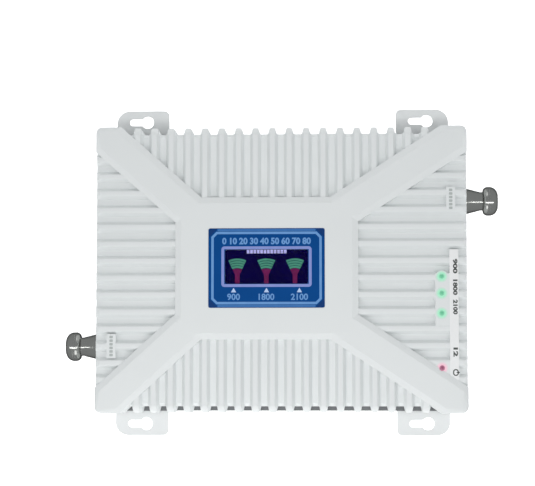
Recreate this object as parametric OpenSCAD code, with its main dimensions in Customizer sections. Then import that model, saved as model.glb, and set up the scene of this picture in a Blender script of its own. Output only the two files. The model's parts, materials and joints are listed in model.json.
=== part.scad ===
// Tri-band signal repeater for a wall: a finned die-cast housing on a back plate with keyhole ears.
// It lies on its back plate. The wall face is z = 0, the raised face looks along +Z,
// the outdoor antenna port leaves along -X and the indoor antenna port along +X.

/* [Housing] */
// Width of the housing between its side walls
body_w = 197.5; // [192:0.5:215]
// Height of the housing between its top and bottom walls
body_h = 152.5; // [148:0.5:170]
// Depth from the wall face of the back plate to the raised face
body_d = 28; // [27:0.5:32]
// Radius of the housing's corners, seen from the front
corner_r = 4; // [3:0.5:6]
// Radius along the housing's front edges
edge_r = 2.5; // [1:0.5:3.5]
// Thickness of the left and right walls
wall_t = 3; // [2:0.25:4]
// Thickness of the metal under the grooves and behind the ribs
skin_t = 2.5; // [1.5:0.25:3]

/* [Fins] */
// Distance from one fin to the next
fin_pitch = 9; // [8:0.25:11]
// Height of a fin above the groove floor
fin_h = 3.5; // [2.5:0.25:4.5]
// Thickness of a fin at its tip
fin_tip_w = 2.8; // [2.2:0.1:3.4]
// Radius along a fin's tip
fin_tip_r = 0.9; // [0.4:0.1:1]
// Draft of a fin's sides on the front, in degrees
fin_draft = 24; // [12:1:26]
// Draft of a rib's sides on the top and bottom walls, in degrees
rib_draft = 14; // [8:1:20]
// Radius where the fins turn down the top and bottom walls
turn_r = 5; // [3:0.5:7]
// Chamfer where a groove floor turns down the top and bottom walls
turn_c = 1.6; // [0.8:0.2:2.4]
// Drop of the fin tips below the faces beside them
fin_drop = 0.3; // [0.2:0.1:0.8]

/* [Raised face] */
// Place of the hub's centre across the housing
hub_x = -7.5; // [-12:0.5:0]
// Place of the hub's centre up the housing
hub_y = 0.5; // [-2:0.5:3]
// Width of the hub over its bevels
hub_w = 97; // [90:1:104]
// Height of the hub over its bevels
hub_h = 75.5; // [70:0.5:82]
// Width of an arm over its bevels
arm_w = 19; // [15:0.5:22]
// Inset of an arm's centre line from the hub's corner, where it leaves the hub
arm_root_inset = 5; // [3:0.5:8]
// Inset of an arm's outer end from the housing's corner
arm_end_inset = 7; // [5:0.5:9]
// Run of the bevel round the raised face
bevel_run = 3.2; // [2:0.2:4]
// Rise of the bevel round the raised face
bevel_rise = 1.2; // [0.6:0.1:2]

/* [Back plate and seal] */
// Thickness of the back plate
plate_t = 2; // [1.5:0.25:3]
// Inset of the back plate from the housing's outline
plate_inset = 1.2; // [0.6:0.1:2]
// Thickness of the seal between the plate and the housing
seal_t = 1; // [0.6:0.1:1.5]
// Inset of the seal from the housing's outline
seal_inset = 1.2; // [0.6:0.1:2]
// Width of the seal's band
seal_w = 6.5; // [5.5:0.5:10]
// Distance of an ear's centre from the middle of the plate
ear_x = 76; // [70:1:78]
// Width of an ear
ear_w = 28.5; // [26:0.5:32]
// Reach of an ear beyond the housing's outline
ear_reach = 12; // [11:0.5:16]
// Radius of an ear's corner towards the plate's middle
ear_inner_r = 2.6; // [1.5:0.1:4]
// Radius of an ear's corner towards the plate's end
ear_outer_r = 7; // [4:0.5:9]
// Distance from the housing's outline to the keyhole's centre line
key_rise = 5.75; // [5:0.25:7]
// Offset of the keyhole's round end from the ear's centre
key_offset = 2.4; // [1:0.1:4]
// Diameter of the keyhole's round end
key_head_d = 6.8; // [6:0.1:8]
// Width of the keyhole's slot
key_slot_w = 3.9; // [3:0.1:4.5]
// Length of the whole keyhole
key_len = 13.4; // [12:0.1:15]

/* [Overlay and display] */
// Width of the printed overlay
overlay_w = 61.5; // [58:0.5:70]
// Height of the printed overlay
overlay_h = 42; // [38:0.5:48]
// Thickness of the overlay
overlay_t = 0.5; // [0.4:0.1:1]
// Depth of the seat that holds the overlay
overlay_seat = 0.3; // [0.2:0.1:0.6]
// Radius of the overlay's corners
overlay_r = 1; // [0.5:0.25:3]
// Height of the screen's centre above the overlay's centre
screen_y = 0.7; // [-1:0.1:2]
// Width of the screen opening in the overlay
screen_w = 44; // [40:0.5:48]
// Height of the screen opening in the overlay
screen_h = 18.2; // [16:0.2:22]
// Rim of the window and of the glass behind it round the opening
screen_rim = 1.5; // [1:0.25:2.5]
// Thickness of the clear window
window_t = 1.5; // [1:0.25:2]
// Metal left between the window and the display glass
window_ledge = 0.8; // [0.5:0.1:1.2]
// Thickness of the display glass
glass_t = 1.2; // [0.8:0.1:1.6]
// Thickness of the display's metal tray
tray_t = 2.6; // [2:0.1:3.2]
// Width of the display board
display_board_w = 62; // [60:0.5:64]
// Height of the display board
display_board_h = 38; // [36:0.5:42]

/* [Main board] */
// Thickness of the circuit boards
board_t = 1.6; // [1.2:0.2:2]
// Gap between the main board's edge and the side walls
board_gap_x = 6.5; // [5:0.5:8]
// Gap between the main board's edge and the top and bottom walls
board_gap_y = 10.2; // [9.5:0.1:14]
// Height of a shield can
shield_h = 7; // [5:0.5:7.5]
// Thickness of a shield can's sheet
shield_t = 0.3; // [0.2:0.05:0.5]
// Inset of a board screw from the board's ends
board_screw_x = 10; // [9:0.5:14]
// Inset of a board screw from the board's top and bottom edges
board_screw_y = 5.5; // [5:0.5:8]

/* [Ports] */
// Height of the ports' axis above the wall face
port_z = 12; // [11.5:0.25:12.5]
// Height of the outdoor port on the left wall, above the housing's lower edge
outdoor_up = 35.6; // [30:0.1:42]
// Depth of the indoor port on the right wall, below the housing's upper edge
indoor_down = 39.3; // [32:0.1:46]
// Reach of a port beyond its wall
port_reach = 17.2; // [15:0.2:20]
// Outside diameter of a port's threaded barrel
barrel_d = 15.88; // [15:0.01:17]
// Length of the barrel's straight part
barrel_l = 3.2; // [2.5:0.1:5]
// Length of the barrel's nose
nose_l = 3.2; // [2:0.1:4]
// Diameter at the end of the barrel's nose
nose_d = 11.4; // [11:0.1:13]
// Diameter of a port's neck
neck_d = 9.8; // [9:0.1:10.2]
// Length of a port's neck
neck_l = 1.5; // [1:0.1:2.5]
// Diameter of a port's collar on the wall
collar_d = 13.8; // [12:0.1:15]
// Thickness of the collar's straight rim
collar_l = 0.8; // [0.4:0.1:1.5]
// Diameter of a port's stem through the wall
stem_d = 11; // [10:0.1:11.5]
// Bore of the barrel
barrel_bore_d = 8.1; // [7.6:0.1:8.6]
// Diameter of a port's insulator
insulator_d = 6.4; // [5.6:0.1:6.8]
// Diameter of the contact's socket
contact_d = 3; // [2.6:0.1:3.4]
// Depth of the contact's tip below the end of the nose
contact_recess = 4.6; // [4.2:0.1:5]
// Diameter of the contact's pin on the board
contact_pin_d = 1.6; // [1.2:0.1:2]
// Thickness of a port's lock washer
washer_t = 0.8; // [0.6:0.1:1.2]
// Thickness of a port's nut
nut_t = 3; // [2.5:0.25:3.5]
// Size of a port's nut across its flats
nut_af = 14; // [13:0.25:14.5]

/* [Indicators and power inlet] */
// Inset of the lamps from the right wall
led_inset = 13.9; // [13:0.1:15]
// Heights of the band lamps above the housing's lower edge
band_led_up = [72.1, 63.2, 52.7]; // [46:0.1:86]
// Height of the power lamp above the housing's lower edge
power_led_up = 23.9; // [23:0.1:25]
// Diameter of a lamp
led_d = 3; // [2.6:0.1:3.2]
// Rise of a lamp above its pad
led_rise = 1; // [0.5:0.1:1.5]
// Width of the flat round the lamps, left of their centre
led_pad_w = 3.4; // [3:0.1:5]
// Length of the flat beyond the first and last band lamp
led_pad_end = 6.7; // [3:0.1:7]
// Inset of the marking strip from the right wall
strip_inset = 5; // [4:0.1:6]
// Width of the marking strip
strip_w = 4.7; // [4:0.1:6]
// Length of the marking strip
strip_l = 69; // [66:0.5:72]
// Height of the marking strip's lower end above the housing's lower edge
strip_up = 17.5; // [17:0.5:20]
// Width of the marking flat beside each port
port_pad_w = 4.8; // [4:0.1:6]
// Length of the marking flat beside each port
port_pad_l = 13; // [10:0.5:16]
// Inset of those flats from their wall
port_pad_inset = 6.4; // [5:0.1:8]
// Height of the power inlet on the right wall, above the housing's lower edge
inlet_up = 34; // [33:0.5:40]
// Height of the power inlet's axis above the wall face
inlet_z = 11.5; // [11:0.25:12.5]
// Width and height of the power inlet's body
inlet_s = 9; // [8.5:0.25:10]
// Length of the power inlet's body
inlet_l = 13; // [11:0.5:15]
// Bore of the power inlet
inlet_bore_d = 6.4; // [6:0.1:6.8]
// Diameter of the power inlet's pin
inlet_pin_d = 2; // [1.6:0.1:2.5]

/* [Fasteners and fits] */
// Thread diameter of the screws in the plate and the main board
screw_d = 3; // [2.5:0.1:3.2]
// Head diameter of those screws
screw_head_d = 5.6; // [5:0.1:6]
// Length of the plate screws
plate_screw_l = 9; // [7:0.5:12]
// Length of the board screws
board_screw_l = 6; // [5:0.5:7]
// Thread diameter of the display screws
small_screw_d = 2; // [1.6:0.1:2.2]
// Head diameter of the display screws
small_head_d = 3.8; // [3.4:0.1:4]
// Length of the display screws
small_screw_l = 4.5; // [4:0.1:5]
// Gap round parts that sit in a hole
fit_gap = 0.1; // [0.05:0.01:0.2]
// Gap round parts that are only let through
free_gap = 0.4; // [0.2:0.05:0.6]

/* [Hidden] */
$fn = 48;
rim_z = plate_t + seal_t;
face_z = body_d;
bevel_z = face_z - bevel_rise;
tip_z = bevel_z - fin_drop;
floor_z = tip_z - fin_h;
ceiling_z = floor_z - skin_t;
side_x = body_w / 2 - fin_drop;
rib_y = body_h / 2 - fin_drop;
valley_y = rib_y - fin_h;
cavity_w = 2 * (side_x - wall_t);
cavity_h = 2 * (valley_y - skin_t);
lift = 0.01 * body_d; // reach of a cut beyond the face that it opens

// Grooves between the fins: facets along a tip's arc, and places of the grooves
tip_steps = 3;
turn_w = 1.8 * groove_floor(fin_draft); // width of the chamfer at the end of a groove floor
upright_places = groove_places(body_w / 2);
level_places = groove_places(body_h / 2);

// Arms: one at each corner, from the hub towards the housing's corner
corners = [[-1, -1], [1, -1], [1, 1], [-1, 1]];
arm_spare = arm_w; // length of an arm beyond its end point, trimmed by the outline

// Screws and their bosses
boss_r = 1.5 * screw_d;
boss_stand = 0.65 * boss_r; // distance of a plate screw from the walls that its boss grows out of
board_boss_r = screw_d + free_gap;
pilot_share = 0.42;
plate_screw_x = cavity_w / 2 - boss_stand;
plate_screw_y = cavity_h / 2 - boss_stand;
plate_screw_at = concat(
    [for (c = corners) [c.x * plate_screw_x, c.y * plate_screw_y]],
    [for (s = [-1, 1]) [0, s * plate_screw_y]]);
screw_head_h = 0.3 * screw_head_d;
small_head_h = 0.34 * small_head_d;

// Display, stacked down from the overlay's seat
seat_z = face_z - overlay_seat;
window_low_z = seat_z - window_t;
pocket_z = window_low_z - window_ledge;
glass_low_z = pocket_z - glass_t;
tray_low_z = glass_low_z - tray_t;
display_low_z = tray_low_z - board_t;
pocket_gap = 2;
glass_w = screen_w + 4 * screen_rim;
glass_h = screen_h + 4 * screen_rim;
small_boss_r = 1.2 * small_screw_d;
small_screw_x = display_board_w / 2 - small_boss_r - free_gap;
small_screw_y = display_board_h / 2 - small_boss_r - free_gap;

// Main board, with the port contacts lying on its face
board_top_z = port_z - contact_pin_d / 2;
board_low_z = board_top_z - board_t;
board_w = cavity_w - 2 * board_gap_x;
board_h = cavity_h - 2 * board_gap_y;
mid_screw_gap = pocket_gap + board_boss_r + 1.2;
board_screw_at = concat(
    [for (c = corners) [c.x * (board_w / 2 - board_screw_x), c.y * (board_h / 2 - board_screw_y)]],
    [for (s = [-1, 1]) [hub_x + s * (display_board_w / 2 + mid_screw_gap), hub_y]]);
pad_t = ceiling_z - board_top_z - shield_h;

// Shield cans: left, top and right of the display, each with its place and size on the board
can_margin = 4;
can_gap = board_boss_r + 1;
left_can_hi = hub_x - display_board_w / 2 - mid_screw_gap - can_gap;
right_can_lo = hub_x + display_board_w / 2 + mid_screw_gap + can_gap;
led_x = body_w / 2 - led_inset;
left_can = [[-board_w / 2 + can_margin, -board_h / 4], [left_can_hi, board_h / 2 - 3 * can_margin]];
right_can = [[right_can_lo, -board_h / 4], [led_x - 3 * can_margin, board_h / 2 - 3 * can_margin]];
top_can = [[left_can_hi + can_margin, hub_y + display_board_h / 2 + can_margin],
           [right_can_lo - can_margin, board_h / 2 - can_margin]];
cans = [left_can, top_can, right_can];
chip_size = [5, 5, 1];
filter_size = [7, 5, 2.5];
component_pitch = 14;

// Supply parts on the lower half of the board
supply_y = (-board_h / 2 + hub_y - display_board_h / 2) / 2;
inductor_d = 12;
inductor_h = 6;
capacitor_d = 8;
capacitor_h = 7;
capacitor_x = [16, 27, 38];
inductor_x = [-20, 0];
supply_chip_x = 54;
header_w = 20;
header_d = 2.5;
header_y = hub_y - display_board_h / 2 + 2 * header_d;

// Ports, measured outwards from the wall's outer face
outdoor_y = outdoor_up - body_h / 2;
indoor_y = body_h / 2 - indoor_down;
barrel_low = port_reach - nose_l - barrel_l;
shoulder_l = (barrel_d - neck_d) / 4;
neck_low = barrel_low - shoulder_l - neck_l;
bore_low = barrel_low - shoulder_l / 2;
stem_l = wall_t + washer_t + nut_t + 1.5;
contact_front = port_reach - contact_recess;
contact_land = 4;
washer_d = nut_af + 1.5;

// Indicators
band_led_y = [for (up = band_led_up) up - body_h / 2];
power_led_y = power_led_up - body_h / 2;
pad_z = (bevel_z + tip_z) / 2;
led_flange_d = led_d + 0.8;
led_flange_t = 1;
led_body_l = 4.3;
led_seat_z = pad_z + led_rise - led_body_l;
lead_s = 0.5;
lead_pitch = 1.27;
strip_x = body_w / 2 - strip_inset - strip_w;
strip_low_y = strip_up - body_h / 2;

// Power inlet
inlet_x = cavity_w / 2;
inlet_y = inlet_up - body_h / 2;
inlet_hole_d = inlet_bore_d + 2.4;
inlet_wing = 1.4;
inlet_wing_t = 1.5;
inlet_back = 2;
pin_recess = 3;

housing_white = "#E9EBEA";
board_green = "#1F5A3C";
nickel = "#8C8C88";
screw_steel = "#9FA3A6";
tin = "#C4C8CA";

// Groove centres either side of the middle line, within a half width
function groove_places(half_w) =
    let (n = floor(half_w / fin_pitch))
    [for (k = [-n : n]) k * fin_pitch];

// Half width of a groove at its floor, and at its mouth where the tips' arcs end
function groove_floor(draft) = fin_pitch / 2 - fin_tip_w / 2 - fin_h * tan(draft);
function groove_mouth(draft) = fin_pitch / 2 - fin_tip_w / 2 + fin_tip_r * (1 - sin(draft)) / cos(draft);

// Arc of a fin's tip, from the fin's side to its top, on the groove's right
function tip_arc(draft) =
    [for (i = [0 : tip_steps])
        let (a = 180 - draft - (90 - draft) * i / tip_steps)
        [groove_mouth(draft) + fin_tip_r * cos(a), fin_h - fin_tip_r + fin_tip_r * sin(a)]];

function arm_root(c) = [hub_x + c.x * (hub_w / 2 - arm_root_inset), hub_y + c.y * (hub_h / 2 - arm_root_inset)];
function arm_end(c) = [c.x * (body_w / 2 - arm_end_inset), c.y * (body_h / 2 - arm_end_inset)];
function arm_run(c) = arm_end(c) - arm_root(c);
function arm_tip(c) = arm_root(c) + 2 * arm_run(c);
function middle(box) = (box[0] + box[1]) / 2;
function extent(box) = box[1] - box[0];

// Rounded rectangle about the origin
module rounded_rect(w, h, r) {
    square([w - 2 * r, h], center = true);
    square([w, h - 2 * r], center = true);
    for (c = corners)
        translate([c.x * (w / 2 - r), c.y * (h / 2 - r)]) circle(r);
}

// What is cut off a square corner at the origin to leave it round
module corner_waste(r) {
    difference() {
        translate([-r, -r]) square([r + lift, r + lift]);
        translate([-r, -r]) circle(r);
    }
}

// Upright plate with a rounded outline
module slab(w, h, r, t) {
    linear_extrude(t) rounded_rect(w, h, r);
}

// Runs a section drawn across Y and up Z along X
module along_x(l) {
    rotate([90, 0, 90]) linear_extrude(l) children();
}

// Runs a section drawn across X and up Z along Y
module along_y(l) {
    translate([0, l, 0]) rotate([90, 0, 0]) linear_extrude(l) children();
}

// Turns a part drawn along +Z from the wall outwards onto the left or right wall
module on_wall(side, y, z) {
    translate([side * side_x, y, z]) rotate([0, side * 90, 0]) children();
}

// Section of one groove, up from its floor, flaring over the tips of the fins beside it
module groove_section(draft) {
    right = concat([[groove_floor(draft), 0]], tip_arc(draft), [[groove_mouth(draft), fin_h + 2 * lift]]);
    polygon(concat(right, [for (i = [len(right) - 1 : -1 : 0]) [-right[i].x, right[i].y]]));
}

// Grooves of the top or bottom field, each run on down the wall between the ribs
module upright_grooves(side) {
    mirror([0, side < 0 ? 1 : 0, 0])
        for (x = upright_places)
            translate([x, 0, 0]) {
                translate([0, 0, floor_z]) along_y(body_h / 2 + lift) groove_section(fin_draft);
                translate([0, valley_y, rim_z - lift]) linear_extrude(face_z - rim_z) groove_section(rib_draft);
                translate([-turn_w / 2, valley_y, floor_z])
                    along_x(turn_w)
                        polygon([[-turn_c - lift, lift], [lift, lift], [lift, -turn_c - lift]]);
            }
}

// Grooves of the left or right field, open at the side wall
module level_grooves(side) {
    mirror([side < 0 ? 1 : 0, 0, 0])
        for (y = level_places)
            translate([0, y, floor_z]) along_x(body_w / 2 + lift) groove_section(fin_draft);
}

// Space over one field, from the middle of one arm to the middle of the next
module field(a, b) {
    linear_extrude(2 * face_z, center = true)
        polygon([arm_root(a), arm_tip(a), arm_tip(b), arm_root(b)]);
}

// All grooves, each within its own field
module grooves() {
    for (side = [-1, 1]) {
        intersection() {
            upright_grooves(side);
            field([-1, side], [1, side]);
        }
        intersection() {
            level_grooves(side);
            field([side, -1], [side, 1]);
        }
    }
}

// Section of a raised bar with bevelled shoulders
module raised_section(w) {
    polygon([[-w / 2, 0], [w / 2, 0], [w / 2, bevel_z],
        [w / 2 - bevel_run, face_z], [-w / 2 + bevel_run, face_z], [-w / 2, bevel_z]]);
}

// Hub and the four arms to the corners
module spider() {
    intersection() {
        translate([hub_x - hub_w / 2, hub_y, 0]) along_x(hub_w) raised_section(hub_h);
        translate([hub_x, hub_y - hub_h / 2, 0]) along_y(hub_h) raised_section(hub_w);
    }
    for (c = corners)
        translate(arm_root(c))
            rotate([0, 0, atan2(arm_run(c).y, arm_run(c).x)])
                along_x(norm(arm_run(c)) + arm_spare) raised_section(arm_w);
}

// Section across the housing up to a level, with its two front edges round
module edge_section(w, d, r) {
    difference() {
        translate([-w / 2, 0]) square([w, d]);
        translate([w / 2, d]) corner_waste(r);
        translate([-w / 2, d]) mirror([1, 0]) corner_waste(r);
    }
}

// Everything inside the housing's walls and rounded front edges
module housing_outline() {
    low = rim_z - lift;
    d = face_z - low;
    intersection() {
        translate([0, 0, low]) slab(body_w, body_h, corner_r, d);
        translate([-body_w / 2, 0, low]) along_x(body_w) edge_section(body_h, d, edge_r);
        translate([0, -body_h / 2, low]) along_y(body_h) edge_section(body_w, d, edge_r);
    }
}

// The block at fin height that the grooves are cut from, up to the arms' outer ends
module fin_block() {
    low = rim_z - 2 * lift;
    d = tip_z - low;
    l = body_w - 2 * arm_end_inset;
    h = body_h - 2 * arm_end_inset;
    translate([-l / 2, 0, low]) along_x(l) edge_section(2 * rib_y, d, turn_r);
    translate([0, -h / 2, low]) along_y(h) edge_section(2 * side_x, d, edge_r);
}

// Flats at fin height that carry the markings and the lamps
module marking_flats() {
    translate([strip_x, strip_low_y, ceiling_z])
        cube([strip_w, strip_l, pad_z - ceiling_z]);
    translate([led_x - led_pad_w, band_led_y[2] - led_pad_end, ceiling_z])
        cube([strip_x - led_x + led_pad_w + lift, band_led_y[0] - band_led_y[2] + led_pad_end + led_d / 2,
            pad_z - ceiling_z]);
    translate([led_x - led_pad_w, power_led_y - led_pad_w, ceiling_z])
        cube([strip_x - led_x + led_pad_w + lift, 2 * led_pad_w, pad_z - ceiling_z]);
    for (s = [[-1, outdoor_y], [1, indoor_y]])
        translate([s[0] * (body_w / 2 - port_pad_inset - port_pad_w / 2), s[1], (ceiling_z + pad_z) / 2])
            cube([port_pad_w, port_pad_l, pad_z - ceiling_z], center = true);
}

// Space inside the housing, round the bosses that stand in it
module housing_cavity() {
    difference() {
        union() {
            translate([-cavity_w / 2, -cavity_h / 2, rim_z - lift])
                cube([cavity_w, cavity_h, ceiling_z - rim_z + lift]);
            translate([hub_x, hub_y, (ceiling_z + pocket_z) / 2 - lift])
                cube([display_board_w + pocket_gap, display_board_h + pocket_gap,
                    pocket_z - ceiling_z + 2 * lift], center = true);
        }
        for (p = plate_screw_at)
            translate([p.x, p.y, 0]) cylinder(r = boss_r, h = face_z);
        for (p = board_screw_at)
            translate([p.x, p.y, board_top_z]) cylinder(r = board_boss_r, h = face_z);
        for (c = corners)
            translate([hub_x + c.x * small_screw_x, hub_y + c.y * small_screw_y, tray_low_z])
                cylinder(r = small_boss_r, h = face_z);
    }
}

// Pilot holes for all screws that enter the housing
module housing_pilots() {
    for (p = plate_screw_at)
        translate([p.x, p.y, rim_z - lift])
            cylinder(r = pilot_share * screw_d, h = plate_screw_l - plate_t + free_gap);
    for (p = board_screw_at)
        translate([p.x, p.y, board_top_z - lift])
            cylinder(r = pilot_share * screw_d, h = board_screw_l - board_t + free_gap);
    for (c = corners)
        translate([hub_x + c.x * small_screw_x, hub_y + c.y * small_screw_y, tray_low_z - lift])
            cylinder(r = pilot_share * small_screw_d, h = small_screw_l - board_t + free_gap);
}

// Openings for the overlay, window, lamps, ports and power inlet
module housing_openings() {
    translate([hub_x, hub_y, seat_z])
        slab(overlay_w + 2 * fit_gap, overlay_h + 2 * fit_gap, overlay_r, overlay_seat + lift);
    translate([hub_x, hub_y + screen_y, window_low_z])
        slab(screen_w + 2 * (screen_rim + fit_gap), screen_h + 2 * (screen_rim + fit_gap), overlay_r,
            window_t + lift);
    translate([hub_x, hub_y + screen_y, pocket_z - lift])
        slab(screen_w, screen_h, overlay_r, window_ledge + 2 * lift);
    for (y = concat(band_led_y, [power_led_y])) {
        translate([led_x, y, ceiling_z - lift]) cylinder(d = led_d + 2 * fit_gap, h = face_z);
        translate([led_x, y, ceiling_z - lift])
            cylinder(d = led_flange_d + 2 * fit_gap, h = led_seat_z - ceiling_z + lift);
    }
    on_wall(-1, outdoor_y, port_z)
        translate([0, 0, -wall_t - lift]) cylinder(d = stem_d + 2 * fit_gap, h = wall_t + 2 * lift);
    on_wall(1, indoor_y, port_z)
        translate([0, 0, -wall_t - lift]) cylinder(d = stem_d + 2 * fit_gap, h = wall_t + 2 * lift);
    on_wall(1, inlet_y, inlet_z)
        translate([0, 0, -wall_t - lift]) cylinder(d = inlet_hole_d, h = wall_t + 2 * lift);
}

module front_housing() {
    color(housing_white)
    difference() {
        union() {
            difference() {
                fin_block();
                grooves();
            }
            intersection() {
                housing_outline();
                spider();
            }
            marking_flats();
        }
        translate([-body_w, -body_h, 0]) cube([2 * body_w, 2 * body_h, rim_z]);
        housing_cavity();
        housing_pilots();
        housing_openings();
    }
}

module housing_seal() {
    w = body_w - 2 * seal_inset;
    h = body_h - 2 * seal_inset;
    color("#505355")
    translate([0, 0, plate_t])
    difference() {
        slab(w, h, corner_r, seal_t);
        difference() {
            translate([0, 0, -lift])
                slab(w - 2 * seal_w, h - 2 * seal_w, corner_r, seal_t + 2 * lift);
            for (p = plate_screw_at)
                translate([p.x, p.y, -lift]) cylinder(r = boss_r, h = seal_t + 2 * lift);
        }
        for (p = plate_screw_at)
            translate([p.x, p.y, -lift]) cylinder(d = screw_d + 2 * fit_gap, h = seal_t + 2 * lift);
    }
}

// Outline of one ear beyond the plate's edge, with its outer corner towards +X
module ear_outline() {
    difference() {
        translate([-ear_w / 2, -corner_r]) square([ear_w, ear_reach + corner_r]);
        translate([ear_w / 2, ear_reach]) corner_waste(ear_outer_r);
        translate([-ear_w / 2, ear_reach]) mirror([1, 0]) corner_waste(ear_inner_r);
    }
}

// Keyhole whose round end is at the origin and whose slot runs towards -X
module keyhole_outline() {
    slot_end = key_len - key_head_d / 2 - key_slot_w / 2;
    circle(d = key_head_d);
    translate([-slot_end, -key_slot_w / 2]) square([slot_end, key_slot_w]);
    translate([-slot_end, 0]) circle(d = key_slot_w);
}

module back_plate() {
    color(housing_white)
    difference() {
        union() {
            slab(body_w - 2 * plate_inset, body_h - 2 * plate_inset, corner_r, plate_t);
            for (c = corners)
                translate([c.x * ear_x, c.y * body_h / 2, 0])
                    mirror([c.x < 0 ? 1 : 0, 0, 0]) mirror([0, c.y < 0 ? 1 : 0, 0])
                        linear_extrude(plate_t) ear_outline();
        }
        for (c = corners)
            translate([c.x * ear_x + key_offset, c.y * (body_h / 2 + key_rise), -lift])
                linear_extrude(plate_t + 2 * lift) keyhole_outline();
        for (p = plate_screw_at)
            translate([p.x, p.y, 0]) {
                translate([0, 0, -lift]) cylinder(d = screw_d + 2 * fit_gap, h = plate_t + 2 * lift);
                translate([0, 0, -lift])
                    cylinder(d1 = screw_head_d + 2 * (fit_gap + lift), d2 = screw_d + 2 * fit_gap,
                        h = (screw_head_d - screw_d) / 2 + lift);
            }
    }
}

// Countersunk screw with its head's face at the origin and its point towards +Z
module countersunk_screw() {
    head_h = (screw_head_d - screw_d) / 2;
    difference() {
        union() {
            cylinder(d1 = screw_head_d, d2 = screw_d, h = head_h);
            cylinder(r = pilot_share * screw_d, h = plate_screw_l);
            cylinder(d = screw_d, h = plate_t + seal_t);
        }
        translate([0, 0, -lift]) cylinder(d = screw_d / 2, h = head_h + lift, $fn = 6);
    }
}

module plate_screws() {
    color(screw_steel)
    for (p = plate_screw_at)
        translate([p.x, p.y, 0]) countersunk_screw();
}

// Pan-head screw with the underside of its head at the origin and its point towards +Z
module pan_screw(d, head_d, head_h, l) {
    difference() {
        union() {
            translate([0, 0, -head_h]) cylinder(d = head_d, h = head_h);
            cylinder(r = pilot_share * d, h = l);
        }
        translate([0, 0, -head_h - lift]) cylinder(d = head_d / 2, h = head_h / 2 + lift, $fn = 6);
    }
}

module overlay_panel() {
    color("#10488F")
    translate([hub_x, hub_y, seat_z])
    difference() {
        slab(overlay_w, overlay_h, overlay_r, overlay_t);
        translate([0, screen_y, -lift]) slab(screen_w, screen_h, overlay_r, overlay_t + 2 * lift);
    }
}

module display_window() {
    color("#2A2F6B", 0.4)
    translate([hub_x, hub_y + screen_y, window_low_z])
        slab(screen_w + 2 * screen_rim, screen_h + 2 * screen_rim, overlay_r, window_t);
}

module display_glass() {
    color("#05003F")
    translate([hub_x, hub_y + screen_y, glass_low_z]) slab(glass_w, glass_h, overlay_r, glass_t);
}

module display_tray() {
    lip = 2 * shield_t;
    color(tin)
    translate([hub_x, hub_y + screen_y, tray_low_z])
    difference() {
        slab(glass_w + 2 * lip, glass_h + 2 * lip, overlay_r + lip, tray_t);
        translate([0, 0, 2 * lip])
            slab(glass_w - 2 * lip, glass_h - 2 * lip, overlay_r, tray_t);
    }
}

module display_board() {
    color(board_green)
    translate([hub_x, hub_y, display_low_z])
    difference() {
        translate([-display_board_w / 2, -display_board_h / 2, 0])
            cube([display_board_w, display_board_h, board_t]);
        for (c = corners)
            translate([c.x * small_screw_x, c.y * small_screw_y, -lift])
                cylinder(d = small_screw_d + 2 * fit_gap, h = board_t + 2 * lift);
    }
}

module display_header() {
    color("#1C1C1E")
    translate([hub_x - header_w / 2, header_y, board_top_z])
        cube([header_w, header_d, display_low_z - board_top_z]);
}

module display_screws() {
    color(screw_steel)
    for (c = corners)
        translate([hub_x + c.x * small_screw_x, hub_y + c.y * small_screw_y, display_low_z])
            pan_screw(small_screw_d, small_head_d, small_head_h, small_screw_l);
}

module main_board() {
    notch_l = inlet_l - (cavity_w - board_w) / 2 + free_gap;
    color(board_green)
    difference() {
        translate([-board_w / 2, -board_h / 2, board_low_z]) cube([board_w, board_h, board_t]);
        for (p = board_screw_at)
            translate([p.x, p.y, board_low_z - lift])
                cylinder(d = screw_d + 2 * fit_gap, h = board_t + 2 * lift);
        translate([board_w / 2 - notch_l, inlet_y - inlet_s / 2 - free_gap, board_low_z - lift])
            cube([notch_l + lift, inlet_s + 2 * free_gap, board_t + 2 * lift]);
    }
}

module board_screws() {
    color(screw_steel)
    for (p = board_screw_at)
        translate([p.x, p.y, board_low_z])
            pan_screw(screw_d, screw_head_d, screw_head_h, board_screw_l);
}

// Folded can, open towards the board
module shield_can(box) {
    s = extent(box);
    color(tin)
    translate([box[0].x, box[0].y, board_top_z])
    difference() {
        cube([s.x, s.y, shield_h]);
        translate([shield_t, shield_t, -lift])
            cube([s.x - 2 * shield_t, s.y - 2 * shield_t, shield_h - shield_t + lift]);
    }
}

module low_band_shield() { shield_can(left_can); }

module mid_band_shield() { shield_can(top_can); }

module high_band_shield() { shield_can(right_can); }

module thermal_pads() {
    color("#B9C3CF")
    for (can = cans)
        translate([middle(can).x, middle(can).y, board_top_z + shield_h + pad_t / 2])
            cube([extent(can).x / 2, extent(can).y / 2, pad_t], center = true);
}

// A pair of blocks on the board in each can, one either side of the can's middle
module pair_in_cans(size, along) {
    for (can = cans, s = [-1, 1])
        translate([middle(can).x + along.x * s, middle(can).y + along.y * s, board_top_z + size.z / 2])
            cube(size, center = true);
}

module amplifier_chips() {
    color("#26282B") pair_in_cans(chip_size, [component_pitch / 2, 0]);
}

module band_filters() {
    color("#D8D2C2") pair_in_cans(filter_size, [0, component_pitch / 2]);
}

module supply_inductors() {
    color("#3A3B3D")
    for (x = inductor_x)
        translate([x, supply_y, board_top_z])
            difference() {
                cylinder(d = inductor_d, h = inductor_h);
                translate([0, 0, inductor_h - screw_head_h])
                    cylinder(d = inductor_d / 2, h = screw_head_h + lift);
            }
}

module supply_capacitors() {
    color("#C9CDD0")
    for (x = capacitor_x)
        translate([x, supply_y, board_top_z]) cylinder(d = capacitor_d, h = capacitor_h);
}

module supply_regulator() {
    color("#26282B")
    translate([supply_chip_x, supply_y, board_top_z + chip_size.z])
        cube(2 * chip_size, center = true);
}

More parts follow.
